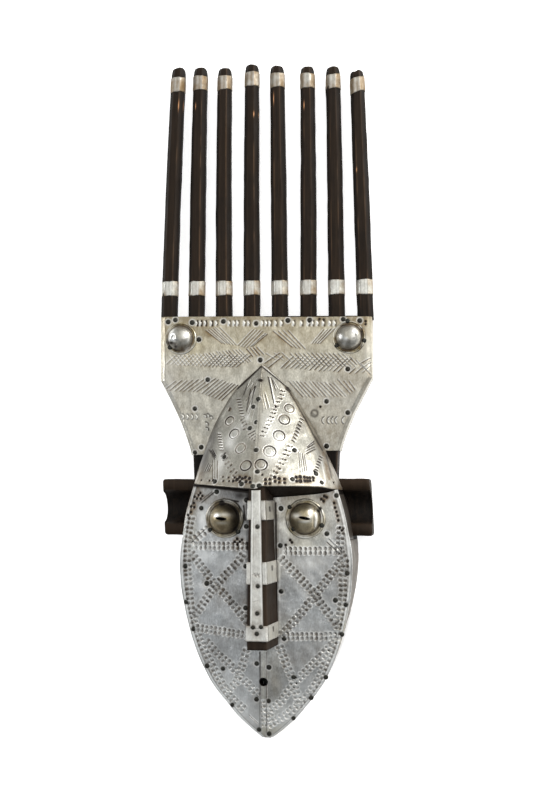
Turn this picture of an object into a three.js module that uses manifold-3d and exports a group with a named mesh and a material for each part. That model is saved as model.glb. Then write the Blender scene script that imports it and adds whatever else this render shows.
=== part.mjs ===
// Carved wooden ntomo mask sheathed in nailed sheet metal, lying on its back.
// Millimetres: x to the viewer's right, y from the chin to the comb's tips, z out of the face.
// While the mask is built, x = 0 is the crest board's middle, y = 0 the chin and z = 0 the back.
import * as THREE from 'three';
import { mergeVertices } from 'three/addons/utils/BufferGeometryUtils.js';
import Module from 'manifold-3d';

const wasm = await Module();
wasm.setup();

// Overall
const LENGTH = 656.7;
const GAP = 0.3;
const SHEET = 0.8;
const BAND = 0.5;

// Face: half widths and rim heights as [y, value], smoothly joined
const FACE_CENTRE = 5;
const FACE_HALF_WIDTHS = [
  [0, 3], [10, 15.5], [22, 28], [54, 53], [97, 70.5], [154, 80.3], [203, 75], [238, 65.5],
];
const FACE_RIM_HEIGHTS = [[0, 31], [50, 36.5], [100, 41], [154, 45.5], [200, 49.5], [238, 51.5]];
const FACE_BULGE = { rise: 5, fullFrom: 60 };
const FACE_FLARE = { middle: 130, slope: 0.075, least: -2.5, most: 4 };
const FACE_TOP_HALF_WIDTH = 75;
const FACE_ROWS = [0, 4, 10, 22, 37, 54, 75, 97, 125, 154, 180, 203, 216];
const FACE_EDGE = { under: 1.4, tuck: 3, drop: 8, inset: 3 };
const FACE_COLUMNS = [-1, -0.75, -0.5, -0.25, 0, 0.25, 0.5, 0.75, 1];

// Hollow behind the face
const HOLLOW = {
  wall: 11, front: 12, from: 14, to: 226, arch: 45, corner: 6, sideRound: 0.9, endCorner: 12, endRound: 0.6,
  least: 3, mouth: 4, past: 3,
};
const HOLLOW_ROWS = [0, 0.06, 0.16, 0.3, 0.46, 0.62, 0.75, 0.85, 0.93, 0.98, 1];
const HOLLOW_COLUMNS = [-1, -0.97, -0.88, -0.6, 0, 0.6, 0.88, 0.97, 1];

// Crest board and the neck that joins it to the face
const BOARD = {
  thickness: 22, halfWidth: 103, flare: 2.2, top: 399.8, topTilt: -0.02, corner: 338,
  bottom: 265, bottomTilt: 0.025, waist: 71.5, taper: 1.35, edgeDrop: 2.5, edgeFrom: 0.955,
};
const NECK = { halfWidth: 69.5, from: 222, middle: 245, step: 1.2, shift: 2 };
const BOARD_ROWS = [264, 270, 276, 288, 300, 312, 325, 338, Infinity];
const BOARD_COLUMNS = [-1, -0.985, -BOARD.edgeFrom, -0.5, 0, 0.5, BOARD.edgeFrom, 0.985, 1];

// Brow hood: a ridge that climbs from the board to the nose.
// Its half widths are [share of the way down from the apex, value].
const BROW = {
  apex: 351, bottom: 232.5, leftRise: 5, rightDrop: 1, ridgeFrom: -1.2, ridgeTo: 5, apexRise: 2, rise: 69,
  fall: 0.5, crown: 0.5, flank: 14, depthIn: 12, undercutRight: 0.22, undercutLeft: 0.09, apexGap: 0.4,
};
const BROW_SEAM = { at: -0.045, gap: 0.006 };
const BROW_LEFT = [[0, 0], [0.19, 25], [0.4, 43], [0.65, 57], [1, 71.5]];
const BROW_RIGHT = [[0, 0], [0.19, 23], [0.4, 37.5], [0.65, 53], [1, 70]];
const BROW_ROWS = [0, 0.15, 0.3, 0.45, 0.6, 0.72, 0.84, 0.93, 0.98, 1];
const BROW_HALF_COLUMNS = [0.2, 0.4, 0.6, 0.78, 0.88, 0.94, 0.98, 1];

// Nose bar
const NOSE = {
  bottom: 88, under: 1.5, top: 233, front: 90, foot: 32,
  frontBottom: [-3.9, 14.1], frontTop: [-2.2, 11.6], footBottom: [-8.2, 18.3], footTop: [-6.6, 16.4],
};
const NOSE_STRIP = { from: 107.5, to: 231, bottomEdges: [-0.7, 11.4], topEdges: [0.4, 9] };
const NOSE_BANDS = { lower: [95.8, 109.8], middle: [146.3, 166.4], upper: [204, 221.6] };
const NOSE_BAND_CLEARANCE = 0.7;

// Eyes, mouth and bosses
const EYES = {
  left: [-31.8, 204.6], right: [44.4, 204.8], bore: 8, lift: 0.35, slitShift: { left: 0.8, right: 1.3 },
};
const MOUTH = { at: [2.7, 53], radius: 4.2, sides: 12 };
const BORE_SPAN = [10, 75];
const EYE_BOSS = { flange: 18.6, dome: 13.9, height: 13 };
const CREST_BOSS = { flange: 15.6, dome: 12.5, height: 11 };
const CREST_BOSS_SPOTS = { left: [-83.5, 379.5], right: [82.5, 377] };
const SLIT = { length: 10.3, width: 2.8 };
const BOSS_SIDES = 20;
const BOSS_STEPS = 5;

// Ears: two grooved lugs, one each side of the face
const EAR = {
  bottom: 188, top: 242, back: 2, front: 25, flange: 11, groove: 16, left: -99, right: 102.5, lean: 0.05,
};
const GROOVE_STEPS = 8;

// Comb of eight prongs
const PRONGS = {
  count: 8, footFirst: -98, footPitch: 27.9, foot: 400, rooted: 0.2, middle: 528, depth: 11, thickness: 13.5,
  widths: [15.8, 15.1, 13.7], chamfer: 4, bendStep: 60,
  bandLength: 14.4, lowerBandRise: 23.5, lowerBandTilt: 0.55,
};
const PRONG_TIP_LOOPS = [[3, 1], [0.8, 0.84], [0, 0.55]];
const PRONG_TIPS = [-89.6, -67.1, -42.1, -14.4, 11, 41.3, 66.8, 90.4];
const PRONG_BENDS = [-0.9, -0.6, -0.9, -0.5, 0, 0.6, 0.2, 0.2];
const PRONG_LENGTHS = [656.7, 655.6, 653.4, 655.3, 652.4, 649.8, 648.2, 643.6];
const UPPER_BAND_DROPS = [26, 24.4, 23.5, 23.3, 23.1, 22.8, 23.7, 23.8];

// Cheek and side sheets
const CHEEK = { foot: 2.5, noseClearance: 0.8, browClearance: 0.8, topInset: 3 };
const CHEEK_ROWS = [CHEEK.foot, 4, 10, 22, 37, 54, 75, 87.2, 87.6, 97, 125, 154, 180, 203, 216, Infinity];
const CHEEK_COLUMNS = [0, 0.07, 0.075, 0.25, 0.5, 0.75, 1];
const LAP = { from: -0.4, to: 6.2, step: 0.4, hidden: 1, top: 87.4 };
const SIDE_SHEET = { foot: 6, seam: 185.5, top: 227, earClearance: 0.8, chinGap: 1.2 };

const clamp = (value, least, most) => Math.min(Math.max(value, least), most);
const mix = (a, b, t) => a + (b - a) * t;

// Smooth curve through a few [y, value] pairs
function along(pairs, y) {
  const last = pairs.length - 1;
  const at = clamp(pairs.findIndex((pair) => pair[0] > y) - 1, -1, last - 1);
  const i = at < 0 ? (y < pairs[0][0] ? 0 : last - 1) : at;
  const slope = (k) => {
    const [low, high] = [pairs[Math.max(k - 1, 0)], pairs[Math.min(k + 1, last)]];
    return (high[1] - low[1]) / (high[0] - low[0]);
  };
  const [[y0, v0], [y1, v1]] = [pairs[i], pairs[i + 1]];
  const step = y1 - y0;
  const t = clamp((y - y0) / step, 0, 1);
  const [t2, t3] = [t * t, t * t * t];
  return v0 * (2 * t3 - 3 * t2 + 1) + v1 * (3 * t2 - 2 * t3)
    + step * (slope(i) * (t3 - 2 * t2 + t) + slope(i + 1) * (t3 - t2));
}

const faceHalfWidth = (y) => along(FACE_HALF_WIDTHS, y);
const faceRim = (y) => along(FACE_RIM_HEIGHTS, y);
const faceFlare = (y) => clamp((y - FACE_FLARE.middle) * FACE_FLARE.slope, FACE_FLARE.least, FACE_FLARE.most);

function faceHeight(x, y) {
  const half = faceHalfWidth(y);
  const s = clamp((x - FACE_CENTRE) / half, -1, 1);
  return faceRim(y) + FACE_BULGE.rise * Math.min(half / FACE_BULGE.fullFrom, 1) ** 2 * (1 - s * s);
}

function boardHalfWidth(y) {
  if (y >= BOARD.corner) return BOARD.halfWidth;
  const climb = Math.max(y - BOARD.bottom, 0) / (BOARD.corner - BOARD.bottom);
  const neck = clamp((BOARD.bottom - y) / (BOARD.bottom - NECK.from), 0, 1);
  return mix(BOARD.waist, BOARD.halfWidth, climb ** BOARD.taper) - neck * (BOARD.waist - NECK.halfWidth);
}

const boardTop = (x) => BOARD.top + BOARD.topTilt * x;

function boardDrop(s) {
  const edge = clamp((Math.abs(s) - BOARD.edgeFrom) / (1 - BOARD.edgeFrom), 0, 1);
  return BOARD.edgeDrop * edge * edge;
}

// Brow hood, s from -1 at its left edge to 1 at its right, v from 0 at its lower edge to 1
const browBottom = (s) => BROW.bottom + (s < 0 ? -BROW.leftRise * s : -BROW.rightDrop * s);
const browRatio = (y) => clamp((BROW.apex - y) / (BROW.apex - BROW.bottom), 0, 1.05);
const browRidge = (y) => mix(BROW.ridgeFrom, BROW.ridgeTo, browRatio(y));

function browPoint(s, v, grow) {
  const y = mix(browBottom(s), BROW.apex - BROW.apexGap, v);
  const ratio = browRatio(y);
  const half = along(s < 0 ? BROW_LEFT : BROW_RIGHT, ratio);
  const crown = 1 + BROW.crown * ratio;
  const a = Math.abs(s);
  const shape = (1 - BROW.fall * a ** crown) * Math.sqrt(1 - a ** BROW.flank);
  const height = BOARD.thickness + (BROW.apexRise + BROW.rise * ratio) * shape;
  return [browRidge(y) + s * (half + grow), y + v * grow, height + grow];
}

const browSide = (x) => clamp((x - BROW.ridgeTo) / (x < BROW.ridgeTo ? BROW_LEFT : BROW_RIGHT)[4][1], -1, 1);

// Height y at which the hood's sloping underside meets the face
function undercutEdge(x) {
  const s = browSide(x);
  const [, y, z] = browPoint(s, 0, 0);
  const slope = s < 0 ? BROW.undercutLeft : BROW.undercutRight;
  return y - slope * Math.max(z - faceHeight(x, y), 0);
}

// Solid between two grids of points: point(column, row, layer) gives [x, y, z]
function gridSolid(columns, rows, point) {
  const across = columns.length;
  const positions = [];
  for (const layer of [0, 1]) {
    for (const row of rows) {
      for (const column of columns) positions.push(...point(column, row, layer));
    }
  }
  const layerSize = across * rows.length;
  const at = (layer, row, column) => layer * layerSize + row * across + column;
  const index = [];
  const quad = (a, b, c, d) => index.push(a, b, c, a, c, d);
  for (let row = 0; row + 1 < rows.length; row += 1) {
    for (let column = 0; column + 1 < across; column += 1) {
      quad(at(1, row, column), at(1, row, column + 1), at(1, row + 1, column + 1), at(1, row + 1, column));
      quad(at(0, row, column), at(0, row + 1, column), at(0, row + 1, column + 1), at(0, row, column + 1));
    }
    const end = across - 1;
    quad(at(0, row, 0), at(1, row, 0), at(1, row + 1, 0), at(0, row + 1, 0));
    quad(at(0, row, end), at(0, row + 1, end), at(1, row + 1, end), at(1, row, end));
  }
  for (let column = 0; column + 1 < across; column += 1) {
    const end = rows.length - 1;
    quad(at(0, 0, column), at(0, 0, column + 1), at(1, 0, column + 1), at(1, 0, column));
    quad(at(0, end, column), at(1, end, column), at(1, end, column + 1), at(0, end, column + 1));
  }
  return outward(fromArrays(positions, index));
}

// Solid through rings of points, closed by a fan at each end
function loftSolid(rings) {
  const sides = rings[0].length;
  const positions = rings.flat(2);
  const index = [];
  for (let ring = 0; ring + 1 < rings.length; ring += 1) {
    for (let side = 0; side < sides; side += 1) {
      const next = (side + 1) % sides;
      const [a, b] = [ring * sides + side, ring * sides + next];
      index.push(a, b, b + sides, a, b + sides, a + sides);
    }
  }
  const last = (rings.length - 1) * sides;
  for (let side = 1; side + 1 < sides; side += 1) {
    index.push(0, side + 1, side, last, last + side, last + side + 1);
  }
  return outward(fromArrays(positions, index));
}

// Open sleeve between an inner and an outer loop at both ends
function sleeveSolid(ends) {
  const sides = ends[0].inner.length;
  const loops = [ends[0].inner, ends[0].outer, ends[1].outer, ends[1].inner];
  const index = [];
  for (let loop = 0; loop < loops.length; loop += 1) {
    const beyond = (loop + 1) % loops.length;
    for (let side = 0; side < sides; side += 1) {
      const next = (side + 1) % sides;
      const [a, b] = [loop * sides + side, loop * sides + next];
      const [c, d] = [beyond * sides + next, beyond * sides + side];
      index.push(a, b, c, a, c, d);
    }
  }
  return outward(fromArrays(loops.flat(2), index));
}

function fromArrays(positions, index) {
  const geometry = new THREE.BufferGeometry();
  geometry.setAttribute('position', new THREE.Float32BufferAttribute(positions, 3));
  geometry.setIndex(index);
  return geometry;
}

// Turns the faces round where they point inwards
function outward(geometry) {
  const { array } = geometry.getAttribute('position');
  const index = Array.from(geometry.getIndex().array);
  const corner = (k) => new THREE.Vector3().fromArray(array, index[k] * 3);
  let volume = 0;
  for (let k = 0; k < index.length; k += 3) volume += corner(k).dot(corner(k + 1).cross(corner(k + 2)));
  if (volume < 0) index.reverse();
  geometry.setIndex(index);
  return geometry;
}

function welded(geometry) {
  const bare = geometry.clone();
  bare.deleteAttribute('normal');
  bare.deleteAttribute('uv');
  return outward(mergeVertices(bare, 1e-4));
}

function toSolid(geometry) {
  const bare = welded(geometry);
  const vertProperties = new Float32Array(bare.getAttribute('position').array);
  const triVerts = new Uint32Array(bare.getIndex().array);
  return new wasm.Manifold(new wasm.Mesh({ numProp: 3, vertProperties, triVerts }));
}

function fromSolid(solid) {
  const mesh = solid.getMesh();
  return fromArrays(mesh.vertProperties, Array.from(mesh.triVerts));
}

function cut(geometry, ...tools) {
  return fromSolid(tools.reduce((solid, tool) => solid.subtract(toSolid(tool)), toSolid(geometry)));
}

// Post along z, used to pierce
function bore([x, y], radius, low, high, sides = 16) {
  const post = new THREE.CylinderGeometry(radius, radius, high - low, sides);
  return post.rotateX(Math.PI / 2).translate(x, y, (low + high) / 2);
}

// Face block up to its carved front; its two top rows tuck under the hood
function faceBlock() {
  const rows = [...FACE_ROWS.map((level) => ({ level })), { shift: -FACE_EDGE.under, drop: 0 }];
  rows.push({ shift: FACE_EDGE.tuck, drop: FACE_EDGE.drop });
  return gridSolid(FACE_COLUMNS, rows, (s, { level, shift, drop = 0 }, layer) => {
    const y = level ?? browBottom(browSide(FACE_CENTRE + s * FACE_TOP_HALF_WIDTH)) + shift;
    const half = faceHalfWidth(y) + (layer ? 0 : faceFlare(y)) - (drop ? FACE_EDGE.inset : 0);
    const x = FACE_CENTRE + s * half;
    return [x, y, layer ? faceHeight(x, y) - drop : 0];
  });
}

function hollowBlock() {
  return gridSolid(HOLLOW_COLUMNS, HOLLOW_ROWS, (s, t, layer) => {
    const y = mix(HOLLOW.from, HOLLOW.to, t);
    const arch = clamp((y - HOLLOW.to + HOLLOW.arch) / (HOLLOW.arch + 1), 0, 1);
    const half = (faceHalfWidth(y) - HOLLOW.wall) * Math.sqrt(1 - arch * arch);
    const x = FACE_CENTRE + s * Math.max(half, HOLLOW.least);
    const ends = Math.sqrt(1 - HOLLOW.endRound * (2 * t - 1) ** HOLLOW.endCorner);
    const deep = (faceHeight(FACE_CENTRE, y) - HOLLOW.front) * ends;
    const sides = Math.sqrt(1 - HOLLOW.sideRound * Math.abs(s) ** HOLLOW.corner);
    return [x, y, layer ? mix(HOLLOW.mouth, deep, sides) : -HOLLOW.past];
  });
}

function boardBlock() {
  return gridSolid(BOARD_COLUMNS, BOARD_ROWS, (s, row, layer) => {
    const y = Math.min(row, boardTop(s * BOARD.halfWidth));
    const half = boardHalfWidth(y);
    return layer
      ? [s * half, y, BOARD.thickness - boardDrop(s)]
      : [s * (half + BOARD.flare), y, 0];
  });
}

function neckBlock() {
  return gridSolid([-1, 0, 1], [NECK.from, NECK.middle, BOARD.bottom], (s, y, layer) => {
    const shift = mix(NECK.shift, 0, (y - NECK.from) / (BOARD.bottom - NECK.from));
    return [shift + s * boardHalfWidth(y), y, layer ? BOARD.thickness - NECK.step : 0];
  });
}

const mirrored = (columns) => [...columns.map((s) => -s).reverse(), 0, ...columns];

function browBlock(grow = 0) {
  return gridSolid(mirrored(BROW_HALF_COLUMNS), BROW_ROWS, (s, v, layer) => {
    const [x, y, z] = browPoint(s, v, grow);
    if (layer) return [x, y, z];
    const undercut = s < 0 ? BROW.undercutLeft : BROW.undercutRight;
    const shift = v === 0 ? undercut * (z - BROW.depthIn) : 0;
    return [x, y - shift, BROW.depthIn];
  });
}

function noseSection(y, front, grow = 0) {
  const t = (y - NOSE.bottom) / (NOSE.top - NOSE.bottom);
  const edge = (bottom, top, side) => mix(bottom[side], top[side], t) + (side ? grow : -grow);
  return front
    ? [edge(NOSE.frontBottom, NOSE.frontTop, 0), edge(NOSE.frontBottom, NOSE.frontTop, 1)]
    : [edge(NOSE.footBottom, NOSE.footTop, 0), edge(NOSE.footBottom, NOSE.footTop, 1)];
}

function noseBlock() {
  return gridSolid([0, 1], [NOSE.bottom, NOSE.top], (side, y, layer) => {
    const shift = layer === 0 && y === NOSE.bottom ? NOSE.under : 0;
    return [noseSection(y, layer)[side], y + shift, layer ? NOSE.front : NOSE.foot];
  });
}

function earBlock() {
  const { bottom, top, back, front, flange, groove } = EAR;
  const outline = new THREE.Shape();
  outline.moveTo(bottom, back);
  outline.lineTo(top, back);
  outline.lineTo(top, front);
  outline.lineTo(top - flange, front);
  const [middle, reach] = [(bottom + top) / 2, (top - bottom) / 2 - flange];
  for (let step = 1; step < GROOVE_STEPS; step += 1) {
    const angle = (Math.PI * step) / GROOVE_STEPS;
    outline.lineTo(middle + reach * Math.cos(angle), front - groove * Math.sin(angle));
  }
  outline.lineTo(bottom + flange, front);
  outline.lineTo(bottom, front);
  outline.closePath();
  const bar = new THREE.ExtrudeGeometry(outline, { depth: EAR.right - EAR.left, bevelEnabled: false });
  // the outline's own x runs along the part's y, and the bar runs along the part's x
  const basis = new THREE.Matrix4().makeBasis(
    new THREE.Vector3(0, 1, 0), new THREE.Vector3(0, 0, 1), new THREE.Vector3(1, 0, 0));
  bar.applyMatrix4(basis).translate(EAR.left, 0, 0);
  const lean = new THREE.Matrix4().set(1, -EAR.lean, 0, EAR.lean * middle, 0, 1, 0, 0, 0, 0, 1, 0, 0, 0, 0, 1);
  return bar.applyMatrix4(lean);
}

// Prong centre line and width at a height y
function prongCentre(index, y) {
  const foot = PRONGS.footFirst + PRONGS.footPitch * index;
  const t = (y - PRONGS.foot) / (PRONG_LENGTHS[index] - PRONGS.foot);
  return mix(foot, PRONG_TIPS[index], t) + 4 * PRONG_BENDS[index] * t * (1 - t);
}

function prongLoop(index, y, scale, grow = 0) {
  const [foot, middle, tip] = PRONGS.widths;
  const above = (y - PRONGS.middle) / (PRONG_LENGTHS[index] - PRONGS.middle);
  const below = (y - PRONGS.foot) / (PRONGS.middle - PRONGS.foot);
  const width = y < PRONGS.middle ? mix(foot, middle, below) : mix(middle, tip, above);
  const [halfX, halfZ] = [(width / 2) * scale + grow, (PRONGS.thickness / 2) * scale + grow];
  const chamfer = PRONGS.chamfer * scale;
  const corners = [];
  for (const [a, b] of [[1, 1], [-1, 1], [-1, -1], [1, -1]]) {
    const pair = [[a * halfX, b * (halfZ - chamfer)], [a * (halfX - chamfer), b * halfZ]];
    corners.push(...(a * b > 0 ? pair : pair.reverse()));
  }
  const centre = prongCentre(index, y);
  return corners.map(([x, z]) => [centre + x, y, PRONGS.depth + z]);
}

function prongBlock(index) {
  const tip = PRONG_LENGTHS[index];
  const root = boardTop(prongCentre(index, PRONGS.foot)) - PRONGS.rooted;
  const { middle, bendStep } = PRONGS;
  const stops = [[root, 1], [middle - bendStep, 1], [middle, 1], [middle + bendStep, 1]];
  for (const [below, scale] of PRONG_TIP_LOOPS) stops.push([tip - below, scale]);
  return loftSolid(stops.map(([y, scale]) => prongLoop(index, y, scale)));
}

function prongBand(index, low) {
  const end = (y) => ({
    inner: prongLoop(index, y, 1, GAP),
    outer: prongLoop(index, y, 1, GAP + BAND),
  });
  return sleeveSolid([end(low), end(low + PRONGS.bandLength)]);
}

function woodenMask() {
  const parts = [faceBlock(), neckBlock(), boardBlock(), browBlock(), noseBlock(), earBlock()];
  for (let index = 0; index < PRONGS.count; index += 1) parts.push(prongBlock(index));
  const joined = parts.map(toSolid).reduce((whole, part) => whole.add(part));
  const bores = [
    bore(EYES.left, EYES.bore, ...BORE_SPAN),
    bore(EYES.right, EYES.bore, ...BORE_SPAN),
    bore(MOUTH.at, MOUTH.radius, ...BORE_SPAN, MOUTH.sides),
  ];
  return cut(fromSolid(joined), hollowBlock(), ...bores);
}

// Sheet over the board's front and down its two long edges, which columns beyond 1 stand for
const CREST = { past: 1.2, topGapLeft: 0.3, topGapRight: 1, foot: 2.2, flareShare: 0.9, browClearance: 1.2 };

function crestSheet() {
  const rows = [BOARD.bottom, ...BOARD_ROWS.slice(1)];
  const side = (s) => Math.sign(s) * Math.min(Math.abs(s), 1);
  const columns = [-CREST.past, ...BOARD_COLUMNS, CREST.past];
  const skin = gridSolid(columns, rows, (s, row, layer) => {
    const off = GAP + layer * SHEET;
    const level = row === BOARD.bottom ? row + BOARD.bottomTilt * (side(s) + 1) * BOARD.waist : row;
    const topGap = s > 0 ? CREST.topGapRight : CREST.topGapLeft;
    const y = Math.min(level, boardTop(side(s) * BOARD.halfWidth) - topGap);
    const down = Math.abs(s) > 1;
    const out = Math.abs(s) >= 1 ? off * Math.sign(s) : 0;
    const flare = down ? BOARD.flare * CREST.flareShare : 0;
    const x = side(s) * (boardHalfWidth(y) + flare) + out;
    return [x, y, down ? CREST.foot : BOARD.thickness - boardDrop(s) + off];
  });
  return cut(skin, browBlock(SHEET + CREST.browClearance));
}

function browSheet(sign) {
  const halves = sign < 0
    ? [...BROW_HALF_COLUMNS.slice(0, -1).reverse().map((s) => -s), BROW_SEAM.at - BROW_SEAM.gap]
    : [BROW_SEAM.at, 0, ...BROW_HALF_COLUMNS.slice(0, -1)];
  return gridSolid(halves, BROW_ROWS.slice(0, -1), (s, v, layer) => browPoint(s, v, GAP + layer * SHEET));
}

// Cheek sheet: from the nose out to the rim; below the nose the right one laps over the left one
function cheekSheet(sign) {
  const [, lapShare, plainShare] = CHEEK_COLUMNS;
  const skin = gridSolid(CHEEK_COLUMNS, CHEEK_ROWS, (u, row, layer) => {
    const off = GAP + layer * SHEET;
    const beside = row > LAP.top;
    const lapped = !beside && sign > 0;
    const foot = noseSection(clamp(row, NOSE.bottom, NOSE.top), 0, CHEEK.noseClearance);
    const below = sign < 0 ? LAP.to - LAP.hidden : LAP.from;
    const inner = beside ? foot[sign < 0 ? 0 : 1] : below;
    const rim = FACE_CENTRE + sign * (faceHalfWidth(Math.min(row, BROW.bottom - CHEEK.topInset)) + GAP + SHEET);
    let x = mix(inner, rim, u);
    if (lapped && u > 0) {
      const lapEdge = LAP.to + (u > lapShare ? LAP.step : 0);
      x = mix(lapEdge, rim, Math.max(u - plainShare, 0) / (1 - plainShare));
    }
    const y = Math.min(row, undercutEdge(x) - FACE_EDGE.under - CHEEK.browClearance);
    const raise = lapped && u <= lapShare ? GAP + SHEET : 0;
    return [x, y, faceHeight(x, y) + off + raise];
  });
  const eye = sign < 0 ? EYES.left : EYES.right;
  return cut(skin, bore(eye, EYES.bore, ...BORE_SPAN), bore(MOUTH.at, MOUTH.radius, ...BORE_SPAN, MOUTH.sides));
}

// Side sheet: wraps the face's edge between two heights of its wall
function sideSheet(sign, low, high, footAt) {
  const rows = [low, ...FACE_ROWS.filter((y) => y > low + 2 && y < high - 2), high];
  return gridSolid([0, 1], rows, (u, y, layer) => {
    const z = u ? faceRim(y) - GAP : footAt;
    const half = faceHalfWidth(y) + faceFlare(y) * (1 - z / faceRim(y));
    return [FACE_CENTRE + sign * (half + GAP + layer * SHEET), y, z];
  });
}

function noseStrip() {
  return gridSolid([0, 1], [NOSE_STRIP.from, NOSE_STRIP.to], (side, y, layer) => {
    const t = (y - NOSE_STRIP.from) / (NOSE_STRIP.to - NOSE_STRIP.from);
    const x = mix(NOSE_STRIP.bottomEdges[side], NOSE_STRIP.topEdges[side], t);
    return [x, y, NOSE.front + 2 * GAP + SHEET * (1 + layer)];
  });
}

// Band across the nose's front and down both its sides
function noseBand([low, high]) {
  return gridSolid([0, 1, 2, 3], [low, high], (corner, y, layer) => {
    const off = GAP + layer * SHEET;
    const onFront = corner === 1 || corner === 2;
    const side = corner < 2 ? 0 : 1;
    const x = noseSection(y, onFront, off)[side];
    if (onFront) return [x, y, NOSE.front + off];
    const foot = faceHeight(x, y) + GAP + SHEET + NOSE_BAND_CLEARANCE;
    const t = (foot - NOSE.foot) / (NOSE.front - NOSE.foot);
    return [mix(x, noseSection(y, 1, off)[side], t), y, foot];
  });
}

// Flanged dome, turned about its own z axis
function bossShell({ flange, dome, height }) {
  const profile = [];
  const arc = (reach, rise, steps, up) => {
    for (let step = 0; step <= steps; step += 1) {
      const angle = (Math.PI / 2) * ((up ? step : steps - step) / steps);
      profile.push(new THREE.Vector2(reach * Math.cos(angle), rise * Math.sin(angle)));
    }
  };
  arc(dome - SHEET, height - SHEET, BOSS_STEPS, false);
  profile.push(new THREE.Vector2(flange, 0), new THREE.Vector2(flange, SHEET));
  arc(dome, height, BOSS_STEPS, true);
  profile[0].x = 0;
  profile[profile.length - 1].x = 0;
  profile[profile.length - BOSS_STEPS - 1].y = SHEET;
  return welded(new THREE.LatheGeometry(profile, BOSS_SIDES).rotateX(Math.PI / 2));
}

// Long eye slit through the top of a dome
function slitCutter(height) {
  const lens = new THREE.Shape();
  lens.absellipse(0, 0, SLIT.length / 2, SLIT.width / 2, 0, Math.PI * 2);
  return new THREE.ExtrudeGeometry(lens, { depth: height, bevelEnabled: false, curveSegments: 8 })
    .translate(0, 0, height / 2);
}

function eyeBoss([x, y], slitShift) {
  const shell = cut(bossShell(EYE_BOSS), slitCutter(EYE_BOSS.height).translate(0, slitShift, 0));
  return placedOnFace(shell, x, y, EYES.lift);
}

// Tilts a piece made about z onto the cheek's slope
function placedOnFace(geometry, x, y, lift) {
  const step = 1;
  const slopeX = (faceHeight(x + step, y) - faceHeight(x - step, y)) / (2 * step);
  const slopeY = (faceHeight(x, y + step) - faceHeight(x, y - step)) / (2 * step);
  const normal = new THREE.Vector3(-slopeX, -slopeY, 1).normalize();
  const turn = new THREE.Quaternion().setFromUnitVectors(new THREE.Vector3(0, 0, 1), normal);
  return geometry.applyQuaternion(turn).translate(x, y, faceHeight(x, y) + GAP + SHEET + GAP + lift);
}

function crestBoss([x, y]) {
  return bossShell(CREST_BOSS).translate(x, y, BOARD.thickness + 2 * GAP + SHEET);
}

function material(color, roughness, metalness) {
  return new THREE.MeshStandardMaterial({ color, roughness, metalness });
}

const wood = material(0x2d2621, 0.7, 0);
const sheetMetal = material(0xb4b4b0, 0.38, 0.9);
const sideMetal = material(0x77736a, 0.5, 0.9);
const bossMetal = material(0x9c9684, 0.3, 0.95);
const bandMetal = material(0xbdb8a8, 0.38, 0.9);

const mask = new THREE.Group();
mask.position.set(0, -LENGTH / 2, 0);

function add(name, geometry, finish) {
  const mesh = new THREE.Mesh(geometry, finish);
  mesh.name = name;
  mask.add(mesh);
}

add('wooden_mask', woodenMask(), wood);
add('crest_sheet', crestSheet(), sheetMetal);
add('nose_strip', noseStrip(), bandMetal);
for (const [place, span] of Object.entries(NOSE_BANDS)) add(`nose_band_${place}`, noseBand(span), bandMetal);
for (const [place, sign] of [['left', -1], ['right', 1]]) {
  add(`brow_sheet_${place}`, browSheet(sign), sheetMetal);
  add(`cheek_sheet_${place}`, cheekSheet(sign), sheetMetal);
  const { foot, seam, top, chinGap, earClearance } = SIDE_SHEET;
  add(`side_sheet_${place}_lower`, sideSheet(sign, chinGap, seam - GAP, foot), sideMetal);
  add(`side_sheet_${place}_upper`, sideSheet(sign, seam, top, EAR.front + earClearance), sideMetal);
  add(`eye_boss_${place}`, eyeBoss(EYES[place], EYES.slitShift[place]), bossMetal);
  add(`crest_boss_${place}`, crestBoss(CREST_BOSS_SPOTS[place]), bossMetal);
}
for (let index = 0; index < PRONGS.count; index += 1) {
  const low = BOARD.top + PRONGS.lowerBandRise - PRONGS.lowerBandTilt * index;
  add(`prong_band_lower_${index + 1}`, prongBand(index, low), bandMetal);
  const high = PRONG_LENGTHS[index] - UPPER_BAND_DROPS[index];
  add(`prong_band_upper_${index + 1}`, prongBand(index, high), bandMetal);
}

export default mask;
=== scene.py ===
"""Carved wooden ntomo mask sheathed in punched sheet metal, lying on its back on a pale floor."""
import math

import bpy
import mathutils
import numpy as np
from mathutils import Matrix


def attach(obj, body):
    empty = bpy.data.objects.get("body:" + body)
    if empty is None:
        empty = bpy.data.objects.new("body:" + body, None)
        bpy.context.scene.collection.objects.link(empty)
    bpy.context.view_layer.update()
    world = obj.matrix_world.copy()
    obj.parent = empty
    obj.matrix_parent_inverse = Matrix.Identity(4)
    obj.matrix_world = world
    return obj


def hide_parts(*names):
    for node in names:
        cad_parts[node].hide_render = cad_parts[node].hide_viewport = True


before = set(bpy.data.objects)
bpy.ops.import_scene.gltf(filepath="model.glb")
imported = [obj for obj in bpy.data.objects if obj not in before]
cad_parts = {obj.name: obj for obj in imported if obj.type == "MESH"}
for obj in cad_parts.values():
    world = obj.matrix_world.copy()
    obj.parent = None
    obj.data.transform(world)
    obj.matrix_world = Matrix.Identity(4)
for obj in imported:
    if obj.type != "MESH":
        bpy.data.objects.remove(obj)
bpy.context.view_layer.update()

# Millimetres while the pieces are built: y = 0 is the chin, z = 0 the back
MM = 0.001
CHIN_Y = -328.35
GAP, SHEET, BAND = 0.3, 0.8, 0.5
SKIN = GAP + SHEET

# Camera, fitted to the photograph
CAMERA_AT = np.array([204.2, 229.2, 1161.5])
CAMERA_AIM = np.array([-1.9, 326.6, 0.0])
LENS, SENSOR = 55.0, 36.0
PHOTO_WIDTH, PHOTO_HEIGHT = 533, 786

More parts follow.
